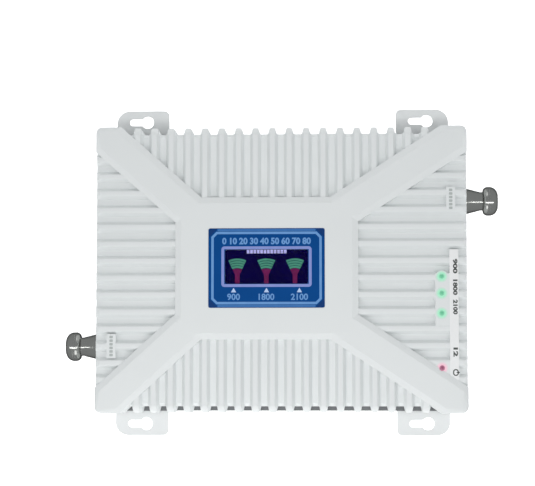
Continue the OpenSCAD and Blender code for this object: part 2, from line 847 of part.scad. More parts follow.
// Port shell turned about its axis: stem, collar, neck, shoulder, threaded barrel and nose
module port_shell() {
    color(nickel)
    rotate_extrude()
        polygon([
            [insulator_d / 2, -stem_l], [stem_d / 2, -stem_l], [stem_d / 2, 0],
            [collar_d / 2, 0], [collar_d / 2, collar_l],
            [neck_d / 2, neck_low], [neck_d / 2, neck_low + neck_l],
            [barrel_d / 2, barrel_low], [barrel_d / 2, barrel_low + barrel_l],
            [nose_d / 2, port_reach], [barrel_bore_d / 2, port_reach],
            [barrel_bore_d / 2, bore_low], [insulator_d / 2, bore_low]]);
}

module port_insulator() {
    color("#F1EFE6")
    translate([0, 0, -stem_l])
    difference() {
        cylinder(d = insulator_d - 2 * fit_gap, h = stem_l + bore_low);
        translate([0, 0, -lift])
            cylinder(d = contact_pin_d + 2 * fit_gap, h = stem_l + bore_low + 2 * lift);
    }
}

// Socket at the front of the insulator, with a pin that runs back to the board
module port_contact() {
    pin_l = wall_t + board_gap_x + contact_land;
    color("#C9A24A")
    difference() {
        union() {
            translate([0, 0, bore_low]) cylinder(d = contact_d, h = contact_front - bore_low);
            translate([0, 0, -pin_l]) cylinder(d = contact_pin_d, h = pin_l + bore_low + lift);
        }
        translate([0, 0, bore_low + contact_d / 4])
            cylinder(d = contact_pin_d, h = contact_front - bore_low);
    }
}

module port_washer() {
    color(tin)
    translate([0, 0, -wall_t - washer_t])
    difference() {
        cylinder(d = washer_d, h = washer_t);
        translate([0, 0, -lift]) cylinder(d = stem_d + 2 * fit_gap, h = washer_t + 2 * lift);
    }
}

module port_nut() {
    color(nickel)
    translate([0, 0, -wall_t - washer_t - nut_t])
    difference() {
        cylinder(d = nut_af / cos(30), h = nut_t, $fn = 6);
        translate([0, 0, -lift]) cylinder(d = stem_d + 2 * fit_gap, h = nut_t + 2 * lift);
    }
}

module outdoor_port_shell() { on_wall(-1, outdoor_y, port_z) port_shell(); }

module outdoor_port_insulator() { on_wall(-1, outdoor_y, port_z) port_insulator(); }

module outdoor_port_contact() { on_wall(-1, outdoor_y, port_z) port_contact(); }

module outdoor_port_washer() { on_wall(-1, outdoor_y, port_z) port_washer(); }

module outdoor_port_nut() { on_wall(-1, outdoor_y, port_z) port_nut(); }

module indoor_port_shell() { on_wall(1, indoor_y, port_z) port_shell(); }

module indoor_port_insulator() { on_wall(1, indoor_y, port_z) port_insulator(); }

module indoor_port_contact() { on_wall(1, indoor_y, port_z) port_contact(); }

module indoor_port_washer() { on_wall(1, indoor_y, port_z) port_washer(); }

module indoor_port_nut() { on_wall(1, indoor_y, port_z) port_nut(); }

// Inlet body in the board's notch, with wings that rest on the board
module power_inlet_body() {
    color("#232427")
    difference() {
        union() {
            translate([inlet_x - inlet_l, inlet_y - inlet_s / 2, inlet_z - inlet_s / 2])
                cube([inlet_l, inlet_s, inlet_s]);
            translate([inlet_x - inlet_l, inlet_y - inlet_s / 2 - inlet_wing, board_top_z])
                cube([inlet_l / 2, inlet_s + 2 * inlet_wing, inlet_wing_t]);
        }
        translate([inlet_x - inlet_l + inlet_back, inlet_y, inlet_z])
            rotate([0, 90, 0]) cylinder(d = inlet_bore_d, h = inlet_l);
    }
}

module power_inlet_pin() {
    color(tin)
    translate([inlet_x - inlet_l + inlet_back, inlet_y, inlet_z])
        rotate([0, 90, 0]) cylinder(d = inlet_pin_d, h = inlet_l - inlet_back - pin_recess);
}

// Lamp seated under its pad, with two leads down to the board
module led(y, tint) {
    color(tint)
    translate([led_x, y, 0]) {
        translate([0, 0, led_seat_z - led_flange_t]) cylinder(d = led_flange_d, h = led_flange_t);
        translate([0, 0, led_seat_z]) cylinder(d = led_d, h = led_body_l - led_d / 2);
        translate([0, 0, led_seat_z + led_body_l - led_d / 2])
            intersection() {
                sphere(d = led_d);
                cylinder(d = 2 * led_d, h = led_d);
            }
        for (s = [-1, 1])
            translate([-lead_s / 2, s * lead_pitch - lead_s / 2, board_top_z])
                cube([lead_s, lead_s, led_seat_z - led_flange_t - board_top_z + lift]);
    }
}

module band_led_1() { led(band_led_y[0], "#5FD08F"); }

module band_led_2() { led(band_led_y[1], "#5FD08F"); }

module band_led_3() { led(band_led_y[2], "#5FD08F"); }

module power_led() { led(power_led_y, "#B03A5A"); }

front_housing();
housing_seal();
back_plate();
plate_screws();
overlay_panel();
display_window();
display_glass();
display_tray();
display_board();
display_header();
display_screws();
main_board();
board_screws();
low_band_shield();
mid_band_shield();
high_band_shield();
thermal_pads();
amplifier_chips();
band_filters();
supply_inductors();
supply_capacitors();
supply_regulator();
outdoor_port_shell();
outdoor_port_insulator();
outdoor_port_contact();
outdoor_port_washer();
outdoor_port_nut();
indoor_port_shell();
indoor_port_insulator();
indoor_port_contact();
indoor_port_washer();
indoor_port_nut();
power_inlet_body();
power_inlet_pin();
band_led_1();
band_led_2();
band_led_3();
power_led();
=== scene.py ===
"""Looks of a wall-mounted signal repeater: finishes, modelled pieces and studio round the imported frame.

Lengths are in millimetres and angles in degrees, unless a line says otherwise.
"""
import json
import logging
import math
from contextlib import contextmanager
from dataclasses import dataclass
from enum import Enum
from typing import Callable, Iterator, Optional, Sequence, Union

import bmesh
import bpy
from mathutils import Matrix, Vector

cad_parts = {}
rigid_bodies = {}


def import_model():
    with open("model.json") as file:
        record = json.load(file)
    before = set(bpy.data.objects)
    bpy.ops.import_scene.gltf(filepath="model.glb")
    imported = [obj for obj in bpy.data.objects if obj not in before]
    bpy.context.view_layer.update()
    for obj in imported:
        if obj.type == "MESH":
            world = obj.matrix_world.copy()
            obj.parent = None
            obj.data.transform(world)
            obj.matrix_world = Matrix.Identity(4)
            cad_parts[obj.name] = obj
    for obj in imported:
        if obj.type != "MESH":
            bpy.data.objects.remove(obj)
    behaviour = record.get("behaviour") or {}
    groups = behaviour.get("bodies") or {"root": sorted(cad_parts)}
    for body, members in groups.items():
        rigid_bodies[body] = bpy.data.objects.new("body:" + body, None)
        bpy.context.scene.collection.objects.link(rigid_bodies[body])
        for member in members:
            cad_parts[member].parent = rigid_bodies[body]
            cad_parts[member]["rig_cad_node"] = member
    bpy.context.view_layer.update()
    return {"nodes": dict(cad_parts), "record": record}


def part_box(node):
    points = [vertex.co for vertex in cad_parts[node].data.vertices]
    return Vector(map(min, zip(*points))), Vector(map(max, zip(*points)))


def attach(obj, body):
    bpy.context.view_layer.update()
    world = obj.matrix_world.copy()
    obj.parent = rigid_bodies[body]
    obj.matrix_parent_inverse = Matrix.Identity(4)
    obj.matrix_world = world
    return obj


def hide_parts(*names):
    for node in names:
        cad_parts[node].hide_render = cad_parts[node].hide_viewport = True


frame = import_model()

LOG = logging.getLogger("repeater")
MM = 0.001  # a millimetre in Blender's metres
ROOT = "root"  # the one body that every piece rides on
SIDES = (-1, 1)
INK = 0.03  # thickness of print
LAMP_RISE = 1.0  # height of a lamp's dome above the flat round it
MERGE = 1e-6  # metres within which two vertices are one
POLE = 1e-3  # radius to which a turned piece closes on its axis
CAP_SHARE = 0.70  # height of a digit as a share of the font's size
DIGIT_STEPS = 3  # facets of a digit's curves
FLAT_ANGLE = 0.2  # turn below which two faces lie in one plane
SMOOTH_ANGLE = 35.0  # turn below which an edge is shaded smooth
WAVE_LENGTH = math.pi / 10  # pitch of the wave texture's bands at a scale of 1
GRAIN_RANGE = (0.3, 0.7)  # values of the noise that span a finish's roughness
PEEL_RANGE = (0.25, 0.75)
HAZE_RANGE = (0.4, 0.8)
WHOLE_RANGE = (0, 1)
MAP_MIDDLE = (0.5, 0.5, 0.0)  # middle of a piece's UV map
ROUND_PROFILE = 0.5  # the bevel's profile that makes a circular rounding
UPWARD = 0.5  # least height of a normal that counts as pointing up

Piece = bpy.types.Object
Socket = bpy.types.NodeSocket
Pair = tuple[float, float]
Point = tuple[float, float, float]
Paint = Union[str, Socket]
EdgeTest = Callable[[bmesh.types.BMEdge], bool]


class Element(Enum):
    """The mesh elements that edit mode selects."""

    VERT = "VERT"
    EDGE = "EDGE"
    FACE = "FACE"


class Corner(Enum):
    """The form of a flat piece's corners, as the number of their facets."""

    CUT = 1
    SOFT = 2
    EASED = 3
    ROUND = 5
    RING = 8


class Axis(Enum):
    """The direction in which a turned piece points, as a turn of +Z about Y."""

    UP = 0.0
    RIGHT = 90.0
    LEFT = -90.0


def tone(code: str) -> Point:
    """Read a screen colour.

    Args:
        code: Six hexadecimal digits.

    Returns:
        The colour as linear red, green and blue.
    """
    parts = [int(code[i:i + 2], 16) / 255 for i in (0, 2, 4)]
    return tuple(p / 12.92 if p <= 0.04045 else ((p + 0.055) / 1.055) ** 2.4 for p in parts)


def metres(lengths: Sequence[float]) -> list[float]:
    """Turn millimetres into Blender's metres."""
    return [length * MM for length in lengths]


def node_box(node: str) -> tuple[Vector, Vector]:
    """Return the lowest and the highest corner of a CAD node."""
    low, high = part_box(node)
    return low / MM, high / MM


def take(obj: Optional[Piece] = None) -> None:
    """Leave edit mode and select one object alone, or none.

    Args:
        obj: The object to select and make active.
    """
    if bpy.context.object and bpy.context.object.mode != "OBJECT":
        bpy.ops.object.mode_set(mode="OBJECT")
    bpy.ops.object.select_all(action="DESELECT")
    if obj:
        obj.select_set(True)
        bpy.context.view_layer.objects.active = obj


def adopt(name: str) -> Piece:
    """Name the object that the last operator added, and put its place into its mesh.

    Args:
        name: The piece's name.

    Returns:
        The object.
    """
    obj = bpy.context.object
    obj.name = name
    obj.data.name = name
    bpy.ops.object.transform_apply(location=True, rotation=True, scale=True)
    return obj


@contextmanager
def editing(obj: Piece, element: Element) -> Iterator[None]:
    """Hold one object in edit mode, with all of its mesh selected.

    Args:
        obj: The object to edit.
        element: The elements that are selected.
    """
    take(obj)
    bpy.ops.object.mode_set(mode="EDIT")
    bpy.ops.mesh.select_mode(type=element.value)
    bpy.ops.mesh.select_all(action="SELECT")
    yield
    bpy.ops.object.mode_set(mode="OBJECT")


def pick(obj: Piece, element: Element, test: Callable) -> int:
    """Select the elements of a mesh in edit mode that pass a test.

    Args:
        obj: The object in edit mode.
        element: The kind of element.
        test: Says of one element whether it is selected.

    Returns:
        How many elements are selected.
    """
    bpy.ops.mesh.select_all(action="DESELECT")
    mesh = bmesh.from_edit_mesh(obj.data)
    rows = {Element.VERT: mesh.verts, Element.EDGE: mesh.edges, Element.FACE: mesh.faces}[element]
    chosen = [row for row in rows if test(row)]
    for row in chosen:
        row.select_set(True)
    mesh.select_flush_mode()
    bmesh.update_edit_mesh(obj.data)
    return len(chosen)


def move_vertices(obj: Piece, points: Sequence[Point]) -> None:
    """Put the vertices of a mesh in edit mode in new places.

    Args:
        obj: The object in edit mode.
        points: A place for each vertex, in the mesh's own order.
    """
    mesh = bmesh.from_edit_mesh(obj.data)
    for vert, point in zip(mesh.verts, points):
        vert.co = metres(point)
    mesh.normal_update()
    bmesh.update_edit_mesh(obj.data)


def modify(obj: Piece, kind: str, **settings: object) -> None:
    """Add a modifier to an object and apply it.

    Args:
        obj: The object.
        kind: The modifier's type.
        settings: Its properties.
    """
    take(obj)
    modifier = obj.modifiers.new(kind.lower(), kind)
    for key, value in settings.items():
        setattr(modifier, key, value)
    bpy.ops.object.modifier_apply(modifier=modifier.name)


def tidy_shell(obj: Piece, within: float = MERGE) -> None:
    """Merge a closed mesh's doubles and turn its faces outwards.

    Args:
        obj: The mesh.
        within: Distance between doubles, in metres.
    """
    with editing(obj, Element.VERT):
        bpy.ops.mesh.remove_doubles(threshold=within)
        bpy.ops.mesh.normals_make_consistent(inside=False)


def smooth(obj: Piece, angle: float) -> None:
    """Shade a mesh smooth across edges below an angle."""
    take(obj)
    bpy.ops.object.shade_smooth_by_angle(angle=math.radians(angle))


def weigh_normals(obj: Piece) -> None:
    """Let the large faces lead the shading across rounded edges."""
    modify(obj, "WEIGHTED_NORMAL", keep_sharp=True)


def join(name: str, parts: Sequence[Piece]) -> Piece:
    """Join two or more objects into one.

    Args:
        name: The name of the whole.
        parts: The objects.

    Returns:
        The joined object.
    """
    take(parts[0])
    for part in parts[1:]:
        part.select_set(True)
    bpy.ops.object.join()
    return adopt(name)


def turned(name: str, profile: Sequence[Pair], sides: int, closed: bool) -> Piece:
    """Turn a piece about +Z by extruding a ring from point to point of its profile.

    Args:
        name: The piece's name.
        profile: Radius and height of each point.
        sides: Vertices in a ring.
        closed: Whether the last ring meets the first one. Otherwise both ends close on the axis.

    Returns:
        The turned mesh at the origin.
    """
    if closed:
        points = [*profile, profile[0]]
    else:
        points = [(POLE, profile[0][1]), *profile, (POLE, profile[-1][1])]
    (radius, height), *rest = points
    take()
    bpy.ops.mesh.primitive_circle_add(vertices=sides, radius=radius * MM, location=(0, 0, height * MM))
    obj = adopt(name)
    with editing(obj, Element.EDGE):
        for next_radius, next_height in rest:
            rise = (0, 0, (next_height - height) * MM)
            bpy.ops.mesh.extrude_edges_move(TRANSFORM_OT_translate={"value": rise})
            grow = next_radius / radius
            bpy.ops.transform.resize(value=(grow, grow, 1), center_override=(0, 0, next_height * MM))
            radius, height = next_radius, next_height
    tidy_shell(obj, MERGE if closed else 2 * POLE * MM)
    return obj


def arc(centre: Pair, radius: float, start: float, end: float, steps: int) -> list[Pair]:
    """Lay points on an arc of a profile.

    Args:
        centre: Radius and height of the arc's centre.
        radius: The arc's radius.
        start: First angle, from the outward direction.
        end: Last angle.
        steps: Stretches between the points.

    Returns:
        The points, both ends among them.
    """
    angles = [math.radians(start + (end - start) * i / steps) for i in range(steps + 1)]
    return [(centre[0] + radius * math.cos(a), centre[1] + radius * math.sin(a)) for a in angles]


def point_at(obj: Piece, axis: Axis, place: Point) -> None:
    """Turn a piece from +Z to an axis and put it in its place.

    Args:
        obj: The piece, modelled about +Z at the origin.
        axis: Where it points.
        place: Where its origin goes.
    """
    take(obj)
    obj.rotation_euler = (0, math.radians(axis.value), 0)
    obj.location = metres(place)
    bpy.ops.object.transform_apply(location=True, rotation=True, scale=True)


def shape_corners(obj: Piece, size: float, form: Corner) -> None:
    """Cut or round all corners of a flat mesh.

    Args:
        obj: The flat mesh.
        size: Size of the corners.
        form: Their form.
    """
    with editing(obj, Element.FACE):
        bpy.ops.mesh.bevel(affect="VERTICES", offset=size * MM, segments=form.value, profile=ROUND_PROFILE)


def thicken(obj: Piece, thick: float = INK, line: float = 0.0) -> None:
    """Give a flat mesh its thickness, over its whole area or as a closed line along its edge.

    Args:
        obj: The flat mesh.
        thick: Thickness.
        line: Width of the line, or 0 for the whole area.
    """
    with editing(obj, Element.FACE):
        if line:
            bpy.ops.mesh.inset(thickness=line * MM)
            bpy.ops.mesh.delete(type="FACE")
            bpy.ops.mesh.select_all(action="SELECT")
        bpy.ops.mesh.extrude_region_move(TRANSFORM_OT_translate={"value": (0, 0, thick * MM)})
    tidy_shell(obj)


def disc(name: str, sides: int, radius: float, at: Point) -> Piece:
    """Lay one flat face with equal sides.

    Args:
        name: The piece's name.
        sides: How many sides.
        radius: Distance of the corners from the middle.
        at: The middle.

    Returns:
        The flat mesh.
    """
    take()
    bpy.ops.mesh.primitive_circle_add(vertices=sides, radius=radius * MM, fill_type="NGON",
                                      location=metres(at))
    return adopt(name)


def plate(name: str, size: Pair, corner: float, form: Corner, at: Point, thick: float = INK,
          line: float = 0.0) -> Piece:
    """Model a flat piece with cut or round corners, whole or as a closed line.

    Args:
        name: The piece's name.
        size: Width and height.
        corner: Size of the corners.
        form: Their form.
        at: Middle of the lower face.
        thick: Thickness.
        line: Width of the line, or 0 for the whole area.

    Returns:
        The piece.
    """
    take()
    bpy.ops.mesh.primitive_plane_add(size=MM, location=metres(at))
    obj = bpy.context.object
    obj.scale = (*size, 1)
    adopt(name)
    shape_corners(obj, corner, form)
    thicken(obj, thick, line)
    return obj


def number(name: str, digits: str, height: float, at: Point, turn: float = 0.0, bold: float = 0.0,
           length: float = 0.0) -> Piece:
    """Set plain digits as a thin printed mesh.

    Args:
        name: The piece's name.
        digits: What it says.
        height: Height of a digit.
        at: Middle of the digits, on the printed face.
        turn: Turn about +Z.
        bold: Growth of the strokes.
        length: Length of the whole number, or 0 for its own.

    Returns:
        The mesh.
    """
    take()
    bpy.ops.object.text_add()
    text = bpy.context.object.data
    text.body = digits
    text.size = height / CAP_SHARE * MM
    text.align_x = "CENTER"
    text.extrude = INK / 2 * MM
    text.offset = bold * MM
    text.resolution_u = DIGIT_STEPS
    bpy.ops.object.convert(target="MESH")
    obj = bpy.context.object
    xs, ys, _ = zip(*obj.bound_box)
    with editing(obj, Element.VERT):
        middle = (-(min(xs) + max(xs)) / 2, -(min(ys) + max(ys)) / 2, INK / 2 * MM)
        bpy.ops.transform.translate(value=middle)
    if length:
        obj.scale.x = length * MM / (max(xs) - min(xs))
    obj.rotation_euler.z = math.radians(turn)
    obj.location = metres(at)
    adopt(name)
    tidy_shell(obj)
    return obj


def long_and_sharp(angle: float, shortest: float) -> EdgeTest:
    """Make a test for edges that are long and sharp enough to be rounded.

    Args:
        angle: Least angle between the faces.
        shortest: Least length.

    Returns:
        The test.
    """
    least, limit = shortest * MM, math.radians(angle)
    return lambda e: e.calc_length() >= least and e.calc_face_angle(0) >= limit


def on_level(level: float, least: float, most: float) -> EdgeTest:
    """Make a test for edges that lie at a level and turn between two angles.

    Args:
        level: The level.
        least: Least angle between the faces.
        most: Greatest angle.

    Returns:
        The test.
    """
    low, high = math.radians(least), math.radians(most)
    return lambda e: (all(abs(v.co.z - level * MM) < MERGE for v in e.verts)
                      and low <= e.calc_face_angle(0) <= high)


def merged_copy(node: str, name: str) -> Piece:
    """Copy a CAD node and merge its loose triangles into one shell.

    Args:
        node: The node.
        name: The copy's name.

    Returns:
        The copy, which isn't yet shown in the node's place.
    """
    take(frame["nodes"][node])
    bpy.ops.object.duplicate()
    obj = bpy.context.object
    obj.parent = None
    del obj["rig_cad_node"]
    obj.data.materials.clear()
    adopt(name)
    with editing(obj, Element.EDGE):
        bpy.ops.mesh.customdata_custom_splitnormals_clear()
        bpy.ops.mesh.remove_doubles(threshold=MERGE)
    return obj


def round_edges(obj: Piece, width: float, facets: int, test: EdgeTest) -> None:
    """Merge the faces of a mesh that lie in one plane, and round the edges that a test names.

    Args:
        obj: The mesh.
        width: Width of the rounding.
        facets: Facets across it.
        test: Says of an edge whether it is rounded.
    """
    with editing(obj, Element.EDGE):
        bpy.ops.mesh.dissolve_limited(angle_limit=math.radians(FLAT_ANGLE))
        count = pick(obj, Element.EDGE, lambda e: len(e.link_faces) == 2 and test(e))
        LOG.info("%s: rounding %d edges", obj.name, count)
        bpy.ops.mesh.bevel(offset=width * MM, segments=facets, profile=ROUND_PROFILE, clamp_overlap=True)


class NodeBoard:
    """The node tree of one material while it is wired."""

    def __init__(self, name: str) -> None:
        """Start a material with a principled shader and the piece's own coordinates.

        Args:
            name: The material's name.
        """
        self.material = bpy.data.materials.new(name)
        self.material.use_nodes = True
        self.tree = self.material.node_tree
        self.shader = self.tree.nodes["Principled BSDF"]
        coordinates = self.add("ShaderNodeTexCoord")
        self.place = coordinates.outputs["Object"]
        self.map = coordinates.outputs["UV"]

    def add(self, kind: str, **settings: object) -> bpy.types.Node:
        """Add a node.

        Args:
            kind: The node's type.
            settings: Its properties.

        Returns:
            The node.
        """
        node = self.tree.nodes.new(kind)
        for key, value in settings.items():
            setattr(node, key, value)
        return node

    def link(self, source: Socket, target: Socket) -> None:
        """Wire one socket to another."""
        self.tree.links.new(source, target)

    def fix(self, **values: object) -> None:
        """Set constants on the shader's own sockets.

        Args:
            values: A number or a colour for each socket, named with underscores for spaces.
        """
        for key, value in values.items():
            socket = self.shader.inputs[key.replace("_", " ")]
            socket.default_value = (*value, 1.0) if isinstance(value, tuple) else value

    def feed(self, source: Socket, *sockets: str) -> None:
        """Wire a pattern to one or more of the shader's sockets."""
        for socket in sockets:
            self.link(source, self.shader.inputs[socket])

    def noise(self, grain: float, detail: float = 2.0, scale: Point = (1, 1, 1)) -> Socket:
        """Make noise whose grains are so many millimetres wide.

        Args:
            grain: Width of a grain.
            detail: Octaves of finer noise.
            scale: Stretch of the pattern along the axes.

        Returns:
            The noise, from 0 to 1.
        """
        mapping = self.add("ShaderNodeMapping")
        mapping.inputs["Scale"].default_value = scale
        self.link(self.place, mapping.inputs["Vector"])
        node = self.add("ShaderNodeTexNoise")
        node.inputs["Scale"].default_value = 1 / (grain * MM)
        node.inputs["Detail"].default_value = detail
        self.link(mapping.outputs["Vector"], node.inputs["Vector"])
        return node.outputs["Fac"]

    def bands(self, pitch: float, axis: str) -> Socket:
        """Make fine bands across an axis.

        Args:
            pitch: Distance from band to band.
            axis: The axis, as X, Y or Z.

        Returns:
            The bands, from 0 to 1.
        """
        node = self.add("ShaderNodeTexWave", bands_direction=axis)
        node.inputs["Scale"].default_value = WAVE_LENGTH / (pitch * MM)
        node.inputs["Distortion"].default_value = 0.0
        self.link(self.place, node.inputs["Vector"])
        return node.outputs["Fac"]

    def height(self, low: float, high: float) -> Socket:
        """Grade the piece from 0 at a low level to 1 at a high one.

        Args:
            low: Lower level.
            high: Upper level.

        Returns:
            The grade.
        """
        split = self.add("ShaderNodeSeparateXYZ")
        self.link(self.place, split.inputs["Vector"])
        return self.span(split.outputs["Z"], (low * MM, high * MM), WHOLE_RANGE)

    def span(self, source: Socket, before: Pair, after: Pair) -> Socket:
        """Map a value from one range to another, and hold it there.

        Args:
            source: The value.
            before: The range it comes from.
            after: The range it goes to.

        Returns:
            The mapped value.
        """
        node = self.add("ShaderNodeMapRange")
        self.link(source, node.inputs["Value"])
        for key, value in zip(("From Min", "From Max", "To Min", "To Max"), (*before, *after)):
            node.inputs[key].default_value = value
        return node.outputs["Result"]

    def blend(self, share: Socket, low: Paint, high: Paint) -> Socket:
        """Mix two colours, given as screen colours or as sockets.

        Args:
            share: Share of the second colour.
            low: The colour at 0.
            high: The colour at 1.

        Returns:
            The mixed colour.
        """
        node = self.add("ShaderNodeMix", data_type="RGBA")
        self.link(share, node.inputs["Factor"])
        for key, colour in (("A", low), ("B", high)):
            socket = next(s for s in node.inputs if s.name == key and s.type == "RGBA")
            if isinstance(colour, str):
                socket.default_value = (*tone(colour), 1.0)
            else:
                self.link(colour, socket)
        return next(s for s in node.outputs if s.type == "RGBA")

    def relief(self, height: Socket, depth: float, strength: float) -> None:
        """Raise the surface a little by a pattern.

        Args:
            height: The pattern.
            depth: Depth of the relief.
            strength: Strength of the effect, up to 1.
        """
        bump = self.add("ShaderNodeBump")
        bump.inputs["Strength"].default_value = strength
        bump.inputs["Distance"].default_value = depth * MM
        self.link(height, bump.inputs["Height"])
        self.feed(bump.outputs["Normal"], "Normal")


@dataclass(frozen=True)
class Finish:
    """A surface in two close tones, with a grain that also carries its roughness and relief.

    The tones are screen colours. Grain, depth and patch are lengths, and rough is the range of roughness.
    """

    name: str
    dark: str
    light: str
    grain: float
    rough: Pair
    depth: float = 0.01
    strength: float = 0.3
    metal: float = 0.0
    patch: float = 18.0
    stretch: Point = (1, 1, 1)

    def tones(self, board: NodeBoard, detail: float = 3.0) -> Socket:
        """Mix the two tones in soft patches."""
        return board.blend(board.noise(self.patch, detail), self.dark, self.light)

    def skin(self, board: NodeBoard, pattern: Socket, values: Pair) -> None:
        """Let one pattern carry the roughness and the relief."""
        board.feed(board.span(pattern, values, self.rough), "Roughness")
        board.relief(pattern, self.depth, self.strength)

    def wire(self, board: NodeBoard) -> None:
        """Wire the finish onto a material.

        Args:
            board: The material's board.
        """
        board.fix(Metallic=self.metal)
        board.feed(self.tones(board), "Base Color")
        self.skin(board, board.noise(self.grain, scale=self.stretch), GRAIN_RANGE)

    def material(self) -> bpy.types.Material:
        """Make the finish's material once.

        Returns:
            The material, or the one that was made before.
        """
        name = f"{self.name}_look"
        made = bpy.data.materials.get(name)
        if made is None:
            board = NodeBoard(name)
            self.wire(board)
            made = board.material
        return made

    def put_on(self, obj: Piece) -> None:
        """Give an object this finish alone."""
        obj.data.materials.clear()
        obj.data.materials.append(self.material())


@dataclass(frozen=True)
class PowderCoat(Finish):
    """Baked powder paint with an orange-peel skin, and painted fill light: a lighter tone low down, which
    lightens the floors of the grooves against their shade.
    """

    # Tone, levels and share of the painted fill light that lightens the paint low down.
    painted_fill: str = "F6F8F8"
    painted_fill_low: float = 23.5
    painted_fill_high: float = 26.0
    painted_fill_share: float = 0.15
    coat: float = 0.15
    coat_rough: float = 0.25

    def wire(self, board: NodeBoard) -> None:
        """Wire the paint, the painted fill light low down, and the skin.

        Args:
            board: The material's board.
        """
        # Painted fill light: a lighter tone, fading in below one level and full below the other, on the
        # floors of the grooves.
        height = board.height(self.painted_fill_low, self.painted_fill_high)
        painted_fill_mask = board.span(height, WHOLE_RANGE, (self.painted_fill_share, 0))
        board.feed(board.blend(painted_fill_mask, self.tones(board), self.painted_fill), "Base Color")
        self.skin(board, board.noise(self.grain, detail=1.0), PEEL_RANGE)
        board.fix(Coat_Weight=self.coat, Coat_Roughness=self.coat_rough)


@dataclass(frozen=True)
class TurnedMetal(Finish):
    """Plated metal with the fine rings that a lathe leaves across the X axis."""

    ring: float = 0.18
    edge_tint: Point = (0.15, 0.15, 0.15)

    def wire(self, board: NodeBoard) -> None:
        """Wire the plating, its tarnish and the lathe's rings.

        Args:
            board: The material's board.
        """
        board.fix(Metallic=1.0, Specular_Tint=self.edge_tint)
        board.feed(self.tones(board, detail=4.0), "Base Color")
        board.feed(board.span(board.noise(self.grain, detail=3.0), GRAIN_RANGE, self.rough), "Roughness")
        board.relief(board.bands(self.ring, "X"), self.depth, self.strength)


@dataclass(frozen=True)
class PrintedFilm(Finish):
    """Printed film under a clear matt top layer."""

    gloss: float = 0.03

    def wire(self, board: NodeBoard) -> None:
        """Wire the print and the film's texture."""
        super().wire(board)
        board.fix(Specular_IOR_Level=self.gloss)


@dataclass(frozen=True)
class ClearSheet(Finish):
    """Clear moulded sheet with a trace of haze."""

    refraction: float = 1.12

    def wire(self, board: NodeBoard) -> None:
        """Wire the clear body and its haze.

        Args:
            board: The material's board.
        """
        board.fix(Transmission_Weight=1.0, IOR=self.refraction)
        board.feed(self.tones(board, detail=2.0), "Base Color")
        self.skin(board, board.noise(self.grain, detail=3.0), HAZE_RANGE)


@dataclass(frozen=True)
class LitPixels(Finish):
    """A lit display area, made of fine rows and columns of pixels."""

    pixel: float = 0.22
    row_share: float = 0.6
    glow: float = 1.0
    gloss: float = 0.02

    def wire(self, board: NodeBoard) -> None:
        """Wire the pixel grid, the glow and the glass that covers them.

        Args:
            board: The material's board.
        """
        grid = board.add("ShaderNodeMath", operation="ADD")
        for target, axis, share in zip(grid.inputs, "YX", (self.row_share, 1 - self.row_share)):
            board.link(board.span(board.bands(self.pixel, axis), WHOLE_RANGE, (0, share)), target)
        lit = board.blend(grid.outputs["Value"], self.dark, self.light)
        board.feed(lit, "Base Color", "Emission Color")
        board.fix(Emission_Strength=self.glow, Specular_IOR_Level=self.gloss)
        board.feed(board.span(board.noise(self.grain), GRAIN_RANGE, self.rough), "Roughness")


@dataclass(frozen=True)
class LampLens(Finish):
    """Tinted lamp lens whose foot glows more than its crown, between two levels."""

    glow: float = 0.2
    foot_glow: float = 0.6
    low: float = 26.6
    high: float = 27.8
    refraction: float = 1.5

    def wire(self, board: NodeBoard) -> None:
        """Wire the tint and the glow from foot to crown.

        Args:
            board: The material's board.
        """
        crown = board.height(self.low, self.high)
        board.feed(board.blend(crown, self.dark, self.light), "Base Color", "Emission Color")
        board.feed(board.span(crown, WHOLE_RANGE, (self.foot_glow, self.glow)), "Emission Strength")
        self.skin(board, board.noise(self.grain), GRAIN_RANGE)
        board.fix(IOR=self.refraction)


@dataclass(frozen=True)
class PaintedLampGlow(Finish):
    """Paint round a lamp that catches the lamp's light, most near the lamp.

    The core and the reach of the painted light are shares of the piece's own map.
    """

    core: float = 0.27
    reach: float = 0.5
    glow: float = 0.12

    def wire(self, board: NodeBoard) -> None:
        """Wire the painted light's fall, in tint and glow, from the middle of the piece's map to its rim.

        Args:
            board: The material's board.
        """
        away = board.add("ShaderNodeVectorMath", operation="DISTANCE")
        board.link(board.map, away.inputs[0])
        away.inputs[1].default_value = MAP_MIDDLE
        share = board.span(away.outputs["Value"], (self.core, self.reach), WHOLE_RANGE)
        board.feed(board.blend(share, self.dark, self.light), "Base Color", "Emission Color")
        board.feed(board.span(share, WHOLE_RANGE, (self.glow, 0)), "Emission Strength")
        self.skin(board, board.noise(self.grain, detail=1.0), PEEL_RANGE)


def film_ink(name: str, dark: str, light: str) -> PrintedFilm:
    """Mix an ink of the overlay."""
    return PrintedFilm(name, dark, light, 0.2, (0.4, 0.55), 0.006, 0.25, patch=4.0)


def mark_ink(name: str, dark: str, light: str) -> Finish:
    """Mix an ink of the marks on label and housing."""
    return Finish(name, dark, light, 0.2, (0.5, 0.65), 0.006, 0.25, patch=2.0)


def screen_light(name: str, dark: str, light: str, glow: float) -> LitPixels:
    """Mix a light of the display."""
    return LitPixels(name, dark, light, 2.0, (0.1, 0.2), glow=glow)


def painted_glow(name: str, dark: str, light: str) -> PaintedLampGlow:
    """Mix the housing's paint with a lamp's painted glow on it."""
    return PaintedLampGlow(name, dark, light, 0.9, (0.42, 0.55), 0.02, 0.2)


